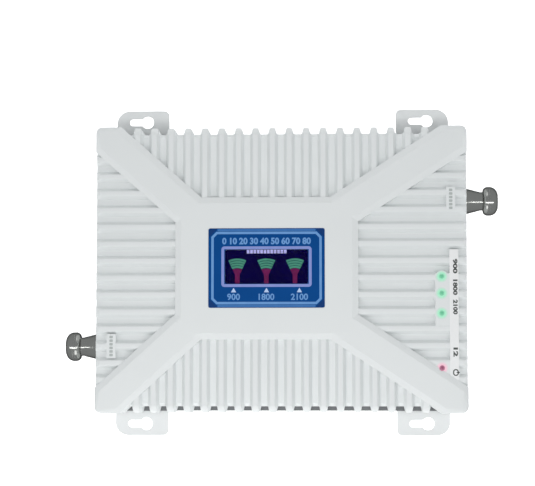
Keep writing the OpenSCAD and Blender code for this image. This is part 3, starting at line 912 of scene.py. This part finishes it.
# Each row gives name, dark and light tone, grain, range of roughness, and depth and strength of the relief.
FINISHES: dict[str, Finish] = {finish.name: finish for finish in (
    # Both paints carry painted fill light low down: on the housing the floors of the grooves, on the plate
    # its edges.
    PowderCoat("housing_paint", "E5E8E8", "EAEDED", 0.9, (0.42, 0.55), 0.03, 0.22, patch=30.0),
    PowderCoat("plate_paint", "E2E4E4", "E8EAEA", 0.9, (0.42, 0.55), 0.03, 0.22, patch=30.0,
               painted_fill="ECEEEE", painted_fill_low=0.0, painted_fill_high=2.0),
    Finish("seal_rubber", "747678", "828486", 0.6, (0.7, 0.9), 0.03, 0.4),
    Finish("screw_steel", "84888B", "A4A8AB", 0.25, (0.25, 0.42), 0.005, 0.3, metal=1.0, patch=2.0),
    PrintedFilm("overlay_print", "0B4687", "0E4C92", 0.25, (0.35, 0.5), 0.008, 0.25, patch=9.0),
    ClearSheet("window_clear", "F2F5F8", "FAFCFD", 3.0, (0.01, 0.05), 0.002, 0.05),
    screen_light("display_screen", "020026", "05013A", 0.6),
    Finish("tinned_sheet", "AEB2B4", "C6CACC", 0.5, (0.25, 0.4), 0.004, 0.25, metal=1.0, stretch=(1, 8, 1)),
    Finish("board_laminate", "17482F", "205A3C", 0.35, (0.35, 0.5), 0.01, 0.3, patch=4.0),
    Finish("moulded_black", "18191B", "232427", 0.3, (0.4, 0.6), 0.012, 0.35),
    Finish("pad_silicone", "7F8FA6", "8E9DB2", 0.4, (0.6, 0.8), 0.02, 0.35),
    Finish("chip_black", "1B1C1E", "26282B", 0.15, (0.5, 0.7), 0.006, 0.3),
    Finish("filter_ceramic", "B9B3A4", "CCC6B8", 0.3, (0.45, 0.6), 0.006, 0.25),
    Finish("inductor_ferrite", "2C2B2A", "3A3938", 0.4, (0.55, 0.75), 0.02, 0.4),
    Finish("capacitor_can", "A7ABAE", "BDC1C4", 0.3, (0.25, 0.4), 0.004, 0.25, metal=1.0),
    TurnedMetal("port_nickel", "A0A19E", "ACADAA", 0.6, (0.13, 0.19), 0.002, 0.06, patch=5.0),
    Finish("port_insulator", "E6E3D8", "F0EEE5", 0.3, (0.4, 0.55), 0.006, 0.25),
    Finish("contact_gold", "B8903C", "CFA954", 0.2, (0.2, 0.32), 0.003, 0.2, metal=1.0, patch=1.5),
    LampLens("lamp_green", "9AC9B2", "4FAE82", 0.4, (0.15, 0.3), 0.004, 0.2),
    LampLens("lamp_red", "B98A9C", "7E2C52", 0.4, (0.15, 0.3), 0.004, 0.2),
)}
# Painted lamp glow: tints that make the housing paint round each lens glow green or red.
PAINTED_LAMP_GLOWS = {
    "lamp_green": painted_glow("green_painted_glow", "A4EEC8", "E0E9E5"),
    "lamp_red": painted_glow("red_painted_glow", "FAC4D6", "EAE6E8"),
}
PALE_INK = film_ink("pale_ink", "6797D2", "77A6DC")
MID_INK = film_ink("mid_ink", "4173B2", "4A7DBC")
LILAC_INK = film_ink("lilac_ink", "8492D2", "93A0DC")
NAVY_INK = film_ink("navy_ink", "183A72", "1E427C")
BRIGHT_INK = film_ink("bright_ink", "B4CCF4", "C4D8F8")
GREY_INK = mark_ink("grey_ink", "4A4E4C", "565A58")
FAINT_INK = mark_ink("faint_ink", "B2B8B6", "BCC2C0")
LABEL_VINYL = Finish("label_vinyl", "F0F1F1", "F6F6F6", 0.3, (0.4, 0.55), 0.006, 0.2, patch=6.0)
GREEN_LIGHT = screen_light("green_light", "356C5A", "47866F", 0.7)
MAGENTA_LIGHT = screen_light("magenta_light", "4A1238", "641C48", 0.8)
LILAC_LIGHT = screen_light("lilac_light", "8A86B4", "A49FCB", 0.9)


def show(obj: Piece, slot: Optional[str] = None, finish: Optional[Finish] = None,
         nodes: Sequence[str] = (), angle: float = SMOOTH_ANGLE) -> None:
    """Finish a piece: its material, its shading, the body it rides on and the nodes that it stands for.

    Args:
        obj: The piece, in its place.
        slot: The record's slot that its finish belongs to.
        finish: Its finish, where it isn't the slot's own.
        nodes: CAD nodes that it replaces.
        angle: Turn below which its edges are shaded smooth.
    """
    finish = finish or FINISHES[slot]
    finish.put_on(obj)
    smooth(obj, angle)
    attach(obj, ROOT)
    if nodes:
        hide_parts(*nodes)
    LOG.info("piece %s: %d faces, %s", obj.name, len(obj.data.polygons), finish.name)


@dataclass
class Casing:
    """The die-cast housing with the roots of its raised arms, the back plate and the plate's screws."""

    face_round: float = 0.9
    face_facets: int = 4
    face_angles: Pair = (12.0, 40.0)
    plate_round: float = 0.3
    plate_facets: int = 2
    plate_angle: float = 40.0
    plate_edge: float = 1.5
    hub: Pair = (97.0, 75.5)
    root_inset: float = 5.0
    end_inset: float = 7.0
    arm_width: float = 19.0
    bevel_run: float = 3.2
    bevel_rise: float = 1.2
    arm_depth: float = 6.0
    root_sink: float = 0.02
    buried: float = 11.0
    shown: float = 4.0

    def build(self) -> None:
        """Soften the cast and sheet pieces and show them in their nodes' places."""
        face = node_box("front_housing")[1].z
        self.show_cast(merged_copy("front_housing", "finned_housing"), face, ["front_housing"])
        sunk = face - self.root_sink
        roots = [self.arm_root(side_x, side_y, sunk) for side_x in SIDES for side_y in SIDES]
        self.show_cast(join("arm_roots", roots), sunk)
        sheet = merged_copy("back_plate", "wall_plate")
        round_edges(sheet, self.plate_round, self.plate_facets,
                    long_and_sharp(self.plate_angle, self.plate_edge))
        show(sheet, "plate_paint", nodes=["back_plate"])
        weigh_normals(sheet)
        show(merged_copy("plate_screws", "countersunk_screws"), "screw_steel", nodes=["plate_screws"])

    def show_cast(self, obj: Piece, level: float, nodes: Sequence[str] = ()) -> None:
        """Round a casting's raised edges and paint it.

        Args:
            obj: The casting.
            level: Level of the raised face.
            nodes: CAD nodes that it replaces.
        """
        round_edges(obj, self.face_round, self.face_facets, on_level(level, *self.face_angles))
        show(obj, "housing_paint", nodes=nodes)
        weigh_normals(obj)

    def arm_root(self, side_x: int, side_y: int, top: float) -> Piece:
        """Run one arm of the raised face on into the hub, so that its sides leave the hub's edges cleanly.

        Args:
            side_x: Which side the arm leads to.
            side_y: Which end the arm leads to.
            top: Level of the root's top.

        Returns:
            The root.
        """
        low, high = node_box("front_housing")
        panel_low, panel_high = node_box("overlay_panel")
        hub = (panel_low + panel_high) / 2
        root = Vector((hub.x + side_x * (self.hub[0] / 2 - self.root_inset),
                       hub.y + side_y * (self.hub[1] / 2 - self.root_inset), 0))
        end = Vector((side_x * ((high.x - low.x) / 2 - self.end_inset),
                      side_y * ((high.y - low.y) / 2 - self.end_inset), 0))
        ahead = (end - root).normalized()
        middle = root + ahead * (self.shown - self.buried) / 2
        straight = self.arm_depth - self.bevel_rise
        take()
        bpy.ops.mesh.primitive_cube_add(size=MM)
        bar = bpy.context.object
        bar.scale = (self.buried + self.shown, self.arm_width - 2 * self.root_sink, straight)
        bpy.ops.object.transform_apply(scale=True)
        with editing(bar, Element.FACE):
            pick(bar, Element.FACE, lambda f: f.normal.z > UPWARD)
            rise = (0, 0, self.bevel_rise * MM)
            bpy.ops.mesh.extrude_region_move(TRANSFORM_OT_translate={"value": rise})
            narrow = 1 - 2 * self.bevel_run / self.arm_width
            bpy.ops.transform.resize(value=(1, narrow, 1))
        bar.rotation_euler = (0, 0, math.atan2(ahead.y, ahead.x))
        bar.location = metres((middle.x, middle.y, top - self.bevel_rise - straight / 2))
        return adopt("arm_root")


@dataclass
class DisplayPanel:
    """The printed overlay, its inks, and the lit picture behind the clear window."""

    edge_round: float = 0.15
    edge_facets: int = 2
    edge_angle: float = 40.0
    edge_least: float = 1.0
    border: Pair = (58.5, 38.5)
    border_cut: float = 2.7
    border_line: float = 1.3
    margin: float = 0.3
    corner_tint: float = 4.4
    tint_cut: float = 0.2
    band_size: Pair = (52.0, 1.2)
    band_cut: float = 0.3
    frame_size: Pair = (47.8, 21.5)
    frame_round: float = 1.6
    frame_line: float = 1.5
    title: str = "0 10 20 30 40 50 60 70 80"
    title_rise: float = 14.3
    title_height: float = 3.2
    title_width: float = 47.0
    title_bold: float = 0.2
    columns: tuple[float, ...] = (-17.4, 0.0, 17.4)
    arrow_drop: float = -12.1
    arrow_radius: float = 1.612
    arrow_round: float = 0.2
    caption_drop: float = -15.3
    caption_height: float = 3.2
    caption_bold: float = 0.12
    captions: tuple[str, ...] = ("900", "1800", "2100")
    fan_columns: tuple[float, ...] = (-15.6, -0.2, 15.0)
    fan_foot: float = -6.8
    fan_radii: tuple[float, ...] = (6.0, 7.4, 8.7, 10.0, 11.3)
    fan_gap: float = 0.25
    fan_half_angle: float = 25.0
    fan_steps: int = 10
    funnel_low: float = 3.6
    stem_width: float = 2.4
    stem_foot: float = -8.8
    stem_round: float = 0.3
    header_rise: float = 8.3
    header_width: float = 21.5
    header_height: float = 2.3
    header_cells: int = 12
    cell_share: float = 0.8
    cell_round: float = 0.2

    def __post_init__(self) -> None:
        """Read the overlay's and the glass's places from the frame."""
        low, high = node_box("overlay_panel")
        self.middle = ((low.x + high.x) / 2, (low.y + high.y) / 2)
        self.size = (high.x - low.x, high.y - low.y)
        self.top = high.z
        glass_low, glass_high = node_box("display_glass")
        self.screen = ((glass_low.x + glass_high.x) / 2, (glass_low.y + glass_high.y) / 2)
        self.glass_top = glass_high.z

    def on_print(self, x: float, y: float) -> Point:
        """Place a point on the overlay's face, from its middle."""
        return (self.middle[0] + x, self.middle[1] + y, self.top)

    def on_glass(self, x: float, y: float) -> Point:
        """Place a point on the display glass, from the screen's middle."""
        return (self.screen[0] + x, self.screen[1] + y, self.glass_top)

    def build(self) -> None:
        """Model the overlay, its inks and the lit picture."""
        film = merged_copy("overlay_panel", "overlay_film")
        round_edges(film, self.edge_round, self.edge_facets, long_and_sharp(self.edge_angle, self.edge_least))
        show(film, "overlay_print", nodes=["overlay_panel"])
        self.build_borders()
        self.build_numbers()
        self.build_picture()

    def build_borders(self) -> None:
        """Print the border line, the frame round the screen, the edge bands and the tinted corners."""
        line = plate("border_line", self.border, self.border_cut, Corner.CUT, self.on_print(0, 0),
                     line=self.border_line)
        show(line, "overlay_print", PALE_INK)
        rise = self.screen[1] - self.middle[1]
        surround = plate("screen_surround", self.frame_size, self.frame_round, Corner.ROUND,
                         self.on_print(0, rise), line=self.frame_line)
        show(surround, "overlay_print", LILAC_INK)
        rim = (self.size[1] - self.band_size[1]) / 2 - self.margin
        bands = [plate("edge_band", self.band_size, self.band_cut, Corner.CUT, self.on_print(0, side * rim))
                 for side in SIDES]
        show(join("edge_bands", bands), "overlay_print", MID_INK)
        tints = [self.corner(side_x, side_y) for side_x in SIDES for side_y in SIDES]
        show(join("corner_tints", tints), "overlay_print", NAVY_INK)

    def corner(self, side_x: int, side_y: int) -> Piece:
        """Print one tinted corner, cut along the border's corner.

        Args:
            side_x: Which side of the overlay.
            side_y: Which end of the overlay.

        Returns:
            The corner.
        """
        inset = self.margin + self.corner_tint / 2
        at = self.on_print(side_x * (self.size[0] / 2 - inset), side_y * (self.size[1] / 2 - inset))
        piece = plate("corner_tint", (self.corner_tint, self.corner_tint), self.tint_cut, Corner.CUT, at)
        with editing(piece, Element.FACE):
            bpy.ops.mesh.bisect(plane_co=metres(at), plane_no=(side_x, side_y, 0), clear_inner=True,
                                use_fill=True)
        tidy_shell(piece)
        return piece

    def build_numbers(self) -> None:
        """Print the scale above the screen, and an arrow and a number below each column."""
        title = number("scale_numbers", self.title, self.title_height, self.on_print(0, self.title_rise),
                       bold=self.title_bold, length=self.title_width)
        show(title, "overlay_print", PALE_INK)
        arrows = [self.arrow(x) for x in self.columns]
        show(join("column_arrows", arrows), "overlay_print", BRIGHT_INK)
        marks = [number("column_number", digits, self.caption_height, self.on_print(x, self.caption_drop),
                        bold=self.caption_bold) for x, digits in zip(self.columns, self.captions)]
        show(join("column_numbers", marks), "overlay_print", PALE_INK)

    def arrow(self, x: float) -> Piece:
        """Print one arrow that points at its column.

        Args:
            x: Place across the overlay.

        Returns:
            The arrow.
        """
        obj = disc("column_arrow", 3, self.arrow_radius, self.on_print(x, self.arrow_drop))
        shape_corners(obj, self.arrow_round, Corner.SOFT)
        thicken(obj)
        return obj

    def build_picture(self) -> None:
        """Light the level bar and the three signal fans on the glass."""
        pitch = self.header_width / self.header_cells
        first = -self.header_width / 2 + pitch / 2
        cell = (pitch * self.cell_share, self.header_height)
        cells = [plate("level_cell", cell, self.cell_round, Corner.SOFT,
                       self.on_glass(first + i * pitch, self.header_rise)) for i in range(self.header_cells)]
        show(join("level_cells", cells), "display_screen", LILAC_LIGHT)
        fans, stems = [], []
        stem_top = self.fan_foot + self.funnel_low
        stem = (self.stem_width, stem_top - self.stem_foot)
        for x in self.fan_columns:
            fans += [self.fan_band(x, low + self.fan_gap, high)
                     for low, high in zip(self.fan_radii, self.fan_radii[1:])]
            stems.append(self.fan_band(x, self.funnel_low, self.fan_radii[0]))
            stems.append(plate("fan_stem", stem, self.stem_round, Corner.SOFT,
                               self.on_glass(x, (stem_top + self.stem_foot) / 2)))
        show(join("signal_fans", fans), "display_screen", GREEN_LIGHT)
        show(join("signal_stems", stems), "display_screen", MAGENTA_LIGHT)

    def fan_band(self, x: float, low: float, high: float) -> Piece:
        """Spin one band of a fan about the fan's foot.

        Args:
            x: Place of the fan across the screen.
            low: Inner radius of the band.
            high: Outer radius.

        Returns:
            The band.
        """
        half = math.radians(self.fan_half_angle)
        foot = metres(self.on_glass(x, self.fan_foot))
        side = [self.on_glass(x - radius * math.sin(half), self.fan_foot + radius * math.cos(half))
                for radius in (low, high)]
        take()
        bpy.ops.mesh.primitive_plane_add(size=MM, location=foot)
        obj = adopt("fan_band")
        with editing(obj, Element.VERT):
            pick(obj, Element.VERT, lambda v: v.co.x > foot[0])
            bpy.ops.mesh.delete(type="VERT")
            move_vertices(obj, side)
            bpy.ops.mesh.select_all(action="SELECT")
            bpy.ops.mesh.spin(steps=self.fan_steps, angle=2 * half, center=foot, axis=(0, 0, 1))
        thicken(obj)
        return obj


@dataclass
class CoaxPort:
    """A threaded coaxial port on one of the side walls, turned from its own profile.

    Lows, highs and the reach are distances from the wall.
    """

    name: str
    axis: Axis
    stem_d: float = 11.0
    collar_d: float = 13.8
    collar_l: float = 0.8
    collar_cut: float = 0.2
    taper_cut: float = 0.15
    taper_end: float = 0.3
    neck_d: float = 9.8
    neck_low: float = 7.78
    neck_high: float = 9.28
    neck_cut: float = 0.2
    neck_flare: float = 0.25
    barrel_d: float = 15.88
    barrel_low: float = 10.8
    barrel_l: float = 3.2
    rear_rise: float = 1.0
    rear_round: float = 2.6
    rear_angle: float = -62.0
    rear_steps: int = 7
    front_round: float = 4.2
    front_angle: float = 72.0
    front_steps: int = 10
    bore_d: float = 8.1
    bore_low: float = 10.04
    bore_cut: float = 0.3
    insulator_d: float = 6.4
    reach: float = 17.2
    pitch: float = 1.058
    thread_depth: float = 0.5
    thread_margin: float = 0.1
    tooth_share: float = 0.46
    tooth_cut: float = 0.3
    sides: int = 72
    smooth_angle: float = 30.0

    def __post_init__(self) -> None:
        """Read the port's place and its stem from the frame."""
        low, high = node_box(f"{self.name}_shell")
        outward = self.axis is Axis.RIGHT
        self.wall = high.x - self.reach if outward else low.x + self.reach
        self.stem_l = self.wall - low.x if outward else high.x - self.wall
        self.place = (self.wall, (low.y + high.y) / 2, (low.z + high.z) / 2)

    def profile(self) -> list[Pair]:
        """Draw the shell's half section.

        Returns:
            Radius and distance from the wall of each point.
        """
        stem, collar, neck = self.stem_d / 2, self.collar_d / 2, self.neck_d / 2
        bore, insulator = self.bore_d / 2, self.insulator_d / 2
        barrel = self.barrel_d / 2 - self.thread_depth / 2
        rear = (barrel - self.rear_round, self.barrel_low + self.rear_rise)
        front = (barrel - self.front_round, self.reach - self.front_round)
        return [
            (insulator, -self.stem_l), (stem, -self.stem_l), (stem, 0),
            (collar - self.collar_cut, 0), (collar, self.collar_cut),
            (collar, self.collar_l - self.collar_cut), (collar - self.taper_cut, self.collar_l),
            (neck + self.taper_cut, self.neck_low - self.taper_end), (neck, self.neck_low),
            (neck, self.neck_high - self.neck_cut), (neck + self.neck_flare, self.neck_high),
            *arc(rear, self.rear_round, self.rear_angle, 0, self.rear_steps),
            *arc(front, self.front_round, 0, self.front_angle, self.front_steps),
            (bore + self.bore_cut, self.reach), (bore, self.reach - self.bore_cut),
            (bore, self.bore_low), (insulator, self.bore_low),
        ]

    def build(self) -> None:
        """Turn the shell, wind its thread, and show them in the node's place."""
        shell = turned(f"{self.name}_barrel", self.profile(), self.sides, closed=True)
        for obj, nodes in ((shell, [f"{self.name}_shell"]), (self.thread(), [])):
            point_at(obj, self.axis, self.place)
            show(obj, "port_nickel", nodes=nodes, angle=self.smooth_angle)

    def thread(self) -> Piece:
        """Wind the thread's ridge along the barrel.

        Returns:
            The ridge about +Z at the origin.
        """
        turns = int((self.barrel_l - 2 * self.thread_margin) / self.pitch)
        start = self.barrel_low + self.thread_margin + self.pitch / 2
        crest = self.barrel_d / 2
        root, half = crest - self.thread_depth, self.pitch * self.tooth_share
        obj = disc(f"{self.name}_thread", 3, self.thread_depth, (0, 0, 0))
        with editing(obj, Element.VERT):
            move_vertices(obj, [(root, 0, start - half), (crest, 0, start), (root, 0, start + half)])
        shape_corners(obj, self.tooth_cut, Corner.CUT)
        modify(obj, "SCREW", axis="Z", angle=2 * math.pi, screw_offset=self.pitch * MM, iterations=turns,
               steps=self.sides, render_steps=self.sides, use_normal_calculate=True)
        tidy_shell(obj)
        return obj


@dataclass
class Lamp:
    """One indicator lamp: a moulded lens with flange and dome on two leads, and a lamp glow painted on the
    paint round it.
    """

    node: str
    slot: str
    lens_d: float = 3.0
    lens_l: float = 4.3
    dome_angle: float = 84.0
    dome_steps: int = 10
    flange_d: float = 3.8
    flange_t: float = 1.0
    flange_cut: float = 0.15
    painted_glow_d: float = 6.4
    lead_s: float = 0.5
    lead_cut: float = 0.08
    lead_offset: float = 1.27
    sides: int = 40

    def build(self) -> None:
        """Turn the lens over its leads, show it in its node's place and lay a ring of paint round it with the
        lamp's glow painted on.
        """
        low, high = node_box(self.node)
        x, y = (low.x + high.x) / 2, (low.y + high.y) / 2
        radius, flange = self.lens_d / 2, self.flange_d / 2
        seat = high.z - self.lens_l
        foot = seat - self.flange_t
        profile = [
            (flange - self.flange_cut, foot), (flange, foot + self.flange_cut),
            (flange, seat - self.flange_cut), (flange - self.flange_cut, seat), (radius, seat),
            *arc((0, high.z - radius), radius, 0, self.dome_angle, self.dome_steps),
        ]
        lens = turned(f"{self.node}_lens", profile, self.sides, closed=False)
        point_at(lens, Axis.UP, (x, y, 0))
        lead_l = seat - self.flange_t / 2 - low.z
        leads = [plate("lead", (self.lead_s, self.lead_s), self.lead_cut, Corner.SOFT,
                       (x, y + side * self.lead_offset, low.z), thick=lead_l) for side in SIDES]
        show(join(f"{self.node}_lamp", [lens, *leads]), self.slot, nodes=[self.node])
        # A ring of housing paint round the lens, with the lamp's glow painted on it.
        ring = disc(f"{self.node}_pool", self.sides, self.painted_glow_d / 2, (x, y, high.z - LAMP_RISE))
        thicken(ring, line=(self.painted_glow_d - self.lens_d) / 2)
        show(ring, "housing_paint", PAINTED_LAMP_GLOWS[self.slot])


@dataclass
class Markings:
    """The pale label beside the lamps, its plain numbers and power mark, and the marks beside the two ports.

    Each number has its place up the housing and its length.
    """

    label_size: Pair = (4.7, 69.0)
    label_round: float = 0.6
    label_x: float = 91.4
    label_y: float = -24.25
    label_t: float = 0.08
    digit_height: float = 2.1
    digit_bold: float = 0.15
    digit_turn: float = -90.0
    digit_x: float = 92.0
    numbers: tuple[tuple[str, float, float], ...] = (
        ("900", 1.3, 7.8), ("1800", -9.9, 8.2), ("2100", -20.3, 7.8), ("12", -44.0, 4.8))
    ring_y: float = -54.7
    ring_size: Pair = (3.0, 3.6)
    ring_round: float = 1.45
    ring_line: float = 0.6
    bar_shift: float = 1.2
    bar_size: Pair = (1.7, 0.5)
    bar_cut: float = 0.1
    port_mark_x: float = 89.95
    tick_count: int = 6
    tick_size: Pair = (1.8, 1.4)
    tick_round: float = 0.3
    tick_pitch: float = 1.9

    def __post_init__(self) -> None:
        """Read the level of the flats from one of the lamps."""
        self.level = node_box("band_led_1")[1].z - LAMP_RISE

    def build(self) -> None:
        """Lay the label and print its marks and those beside the ports."""
        label = plate("marking_label", self.label_size, self.label_round, Corner.EASED,
                      (self.label_x, self.label_y, self.level), thick=self.label_t)
        show(label, finish=LABEL_VINYL)
        top = self.level + self.label_t
        marks = [number("label_number", digits, self.digit_height, (self.digit_x, y, top), self.digit_turn,
                        self.digit_bold, length) for digits, y, length in self.numbers]
        marks.append(plate("power_ring", self.ring_size, self.ring_round, Corner.RING,
                           (self.digit_x, self.ring_y, top), line=self.ring_line))
        marks.append(plate("power_bar", self.bar_size, self.bar_cut, Corner.CUT,
                           (self.digit_x + self.bar_shift, self.ring_y, top)))
        show(join("label_marks", marks), finish=GREY_INK)
        for name, side in zip(("outdoor_port", "indoor_port"), SIDES):
            low, high = node_box(f"{name}_shell")
            ticks = self.ticks(side * self.port_mark_x, (low.y + high.y) / 2)
            show(join(f"{name}_mark", ticks), finish=FAINT_INK)

    def ticks(self, x: float, y: float) -> list[Piece]:
        """Print a short plain scale of ticks, read from the side.

        Args:
            x: Place across the housing.
            y: Place of its middle up the housing.

        Returns:
            The ticks.
        """
        first = y - self.tick_pitch * (self.tick_count - 1) / 2
        places = [(x, first + i * self.tick_pitch, self.level) for i in range(self.tick_count)]
        return [plate("tick", self.tick_size, self.tick_round, Corner.SOFT, at) for at in places]


@dataclass
class Electronics:
    """The pieces that keep their CAD form: seal, window, display, boards, shields, inlet and port cores."""

    def build(self) -> None:
        """Give each node that is still shown the finish of its slot."""
        slots = {part["node"]: part["material_slot"] for part in frame["record"]["subparts"]}
        for name, obj in frame["nodes"].items():
            if not obj.hide_render:
                FINISHES[slots[name]].put_on(obj)
                LOG.info("node %s: %s", name, slots[name])


@dataclass(frozen=True)
class SoftLight:
    """A soft rectangular light that looks at the object, with its power in watts."""

    name: str
    place: Point
    size: Pair
    power: float

    def hang(self) -> None:
        """Hang the light in its place and turn it to the object."""
        take()
        bpy.ops.object.light_add(type="AREA", location=metres(self.place))
        light = bpy.context.object
        light.name = self.name
        light.data.shape = "RECTANGLE"
        light.data.size, light.data.size_y = metres(self.size)
        light.data.energy = self.power
        light.rotation_euler = (-light.location).to_track_quat("-Z", "Y").to_euler()


@dataclass
class Studio:
    """The pale floor, the soft lights and the camera."""

    floor_side: float = 6000.0
    floor_level: float = -0.1
    floor_tones: tuple[str, str] = ("FAFAFA", "FDFDFD")
    floor_patch: float = 400.0
    floor_cuts: int = 3
    floor_glow: float = 0.9
    floor_rough: float = 0.9
    sky: Point = (0.96, 0.985, 1.0)
    sky_strength: float = 0.445
    lights: tuple[SoftLight, ...] = (
        SoftLight("key_light", (0, -220, 900), (2600, 110), 4.9),
        SoftLight("low_light", (-30, -300, 230), (220, 220), 0.27),
        SoftLight("top_light", (0, 330, 190), (220, 220), 0.13),
    )
    aim: Point = (-7.0, 13.8, 27.0)
    distance: float = 1000.0
    nearest: float = 10.0
    from_below: float = 4.4
    from_right: float = 2.4
    lens: float = 127.0
    sensor: float = 36.0

    def build(self) -> None:
        """Lay the floor, hang the lights and set the camera."""
        scene = bpy.context.scene
        scene.view_settings.view_transform = "Standard"
        self.lay_floor()
        self.light_world(scene)
        for light in self.lights:
            light.hang()
        self.set_camera(scene)

    def lay_floor(self) -> None:
        """Lay a pale floor just under the back plate."""
        take()
        bpy.ops.mesh.primitive_plane_add(size=self.floor_side * MM, location=(0, 0, self.floor_level * MM))
        floor = adopt("floor")
        with editing(floor, Element.FACE):
            bpy.ops.mesh.subdivide(number_cuts=self.floor_cuts)
        board = NodeBoard("floor_white")
        white = board.blend(board.noise(self.floor_patch), *self.floor_tones)
        board.feed(white, "Base Color", "Emission Color")
        board.fix(Emission_Strength=self.floor_glow, Roughness=self.floor_rough)
        floor.data.materials.append(board.material)
        floor.visible_glossy = False

    def light_world(self, scene: bpy.types.Scene) -> None:
        """Fill the studio with an even pale light.

        Args:
            scene: The scene.
        """
        world = bpy.data.worlds.new("studio")
        world.use_nodes = True
        background = world.node_tree.nodes["Background"]
        background.inputs["Color"].default_value = (*self.sky, 1.0)
        background.inputs["Strength"].default_value = self.sky_strength
        scene.world = world

    def set_camera(self, scene: bpy.types.Scene) -> None:
        """Set the camera a metre in front of the raised face.

        Args:
            scene: The scene.
        """
        below, right = math.radians(self.from_below), math.radians(self.from_right)
        away = Vector((math.sin(right), -math.sin(below), 0))
        away.z = math.sqrt(1 - away.x ** 2 - away.y ** 2)
        take()
        bpy.ops.object.camera_add(location=(Vector(self.aim) + away * self.distance) * MM)
        camera = bpy.context.object
        camera.name = "photo_camera"
        across = Vector((0, 1, 0)).cross(away).normalized()
        camera.rotation_euler = Matrix((across, away.cross(across), away)).transposed().to_euler()
        camera.data.lens = self.lens
        camera.data.sensor_width = self.sensor
        camera.data.clip_start = self.nearest * MM
        scene.camera = camera


def main() -> None:
    """Build the sub-assemblies in order, then the studio."""
    logging.basicConfig(level=logging.INFO, format="%(message)s")
    assemblies = [
        Casing(),
        DisplayPanel(),
        CoaxPort("outdoor_port", Axis.LEFT),
        CoaxPort("indoor_port", Axis.RIGHT),
        *[Lamp(f"band_led_{i}", "lamp_green") for i in (1, 2, 3)],
        Lamp("power_led", "lamp_red"),
        Markings(),
        Electronics(),
        Studio(),
    ]
    for assembly in assemblies:
        LOG.info("building %s", type(assembly).__name__)
        assembly.build()


if __name__ == "__main__":
    main()
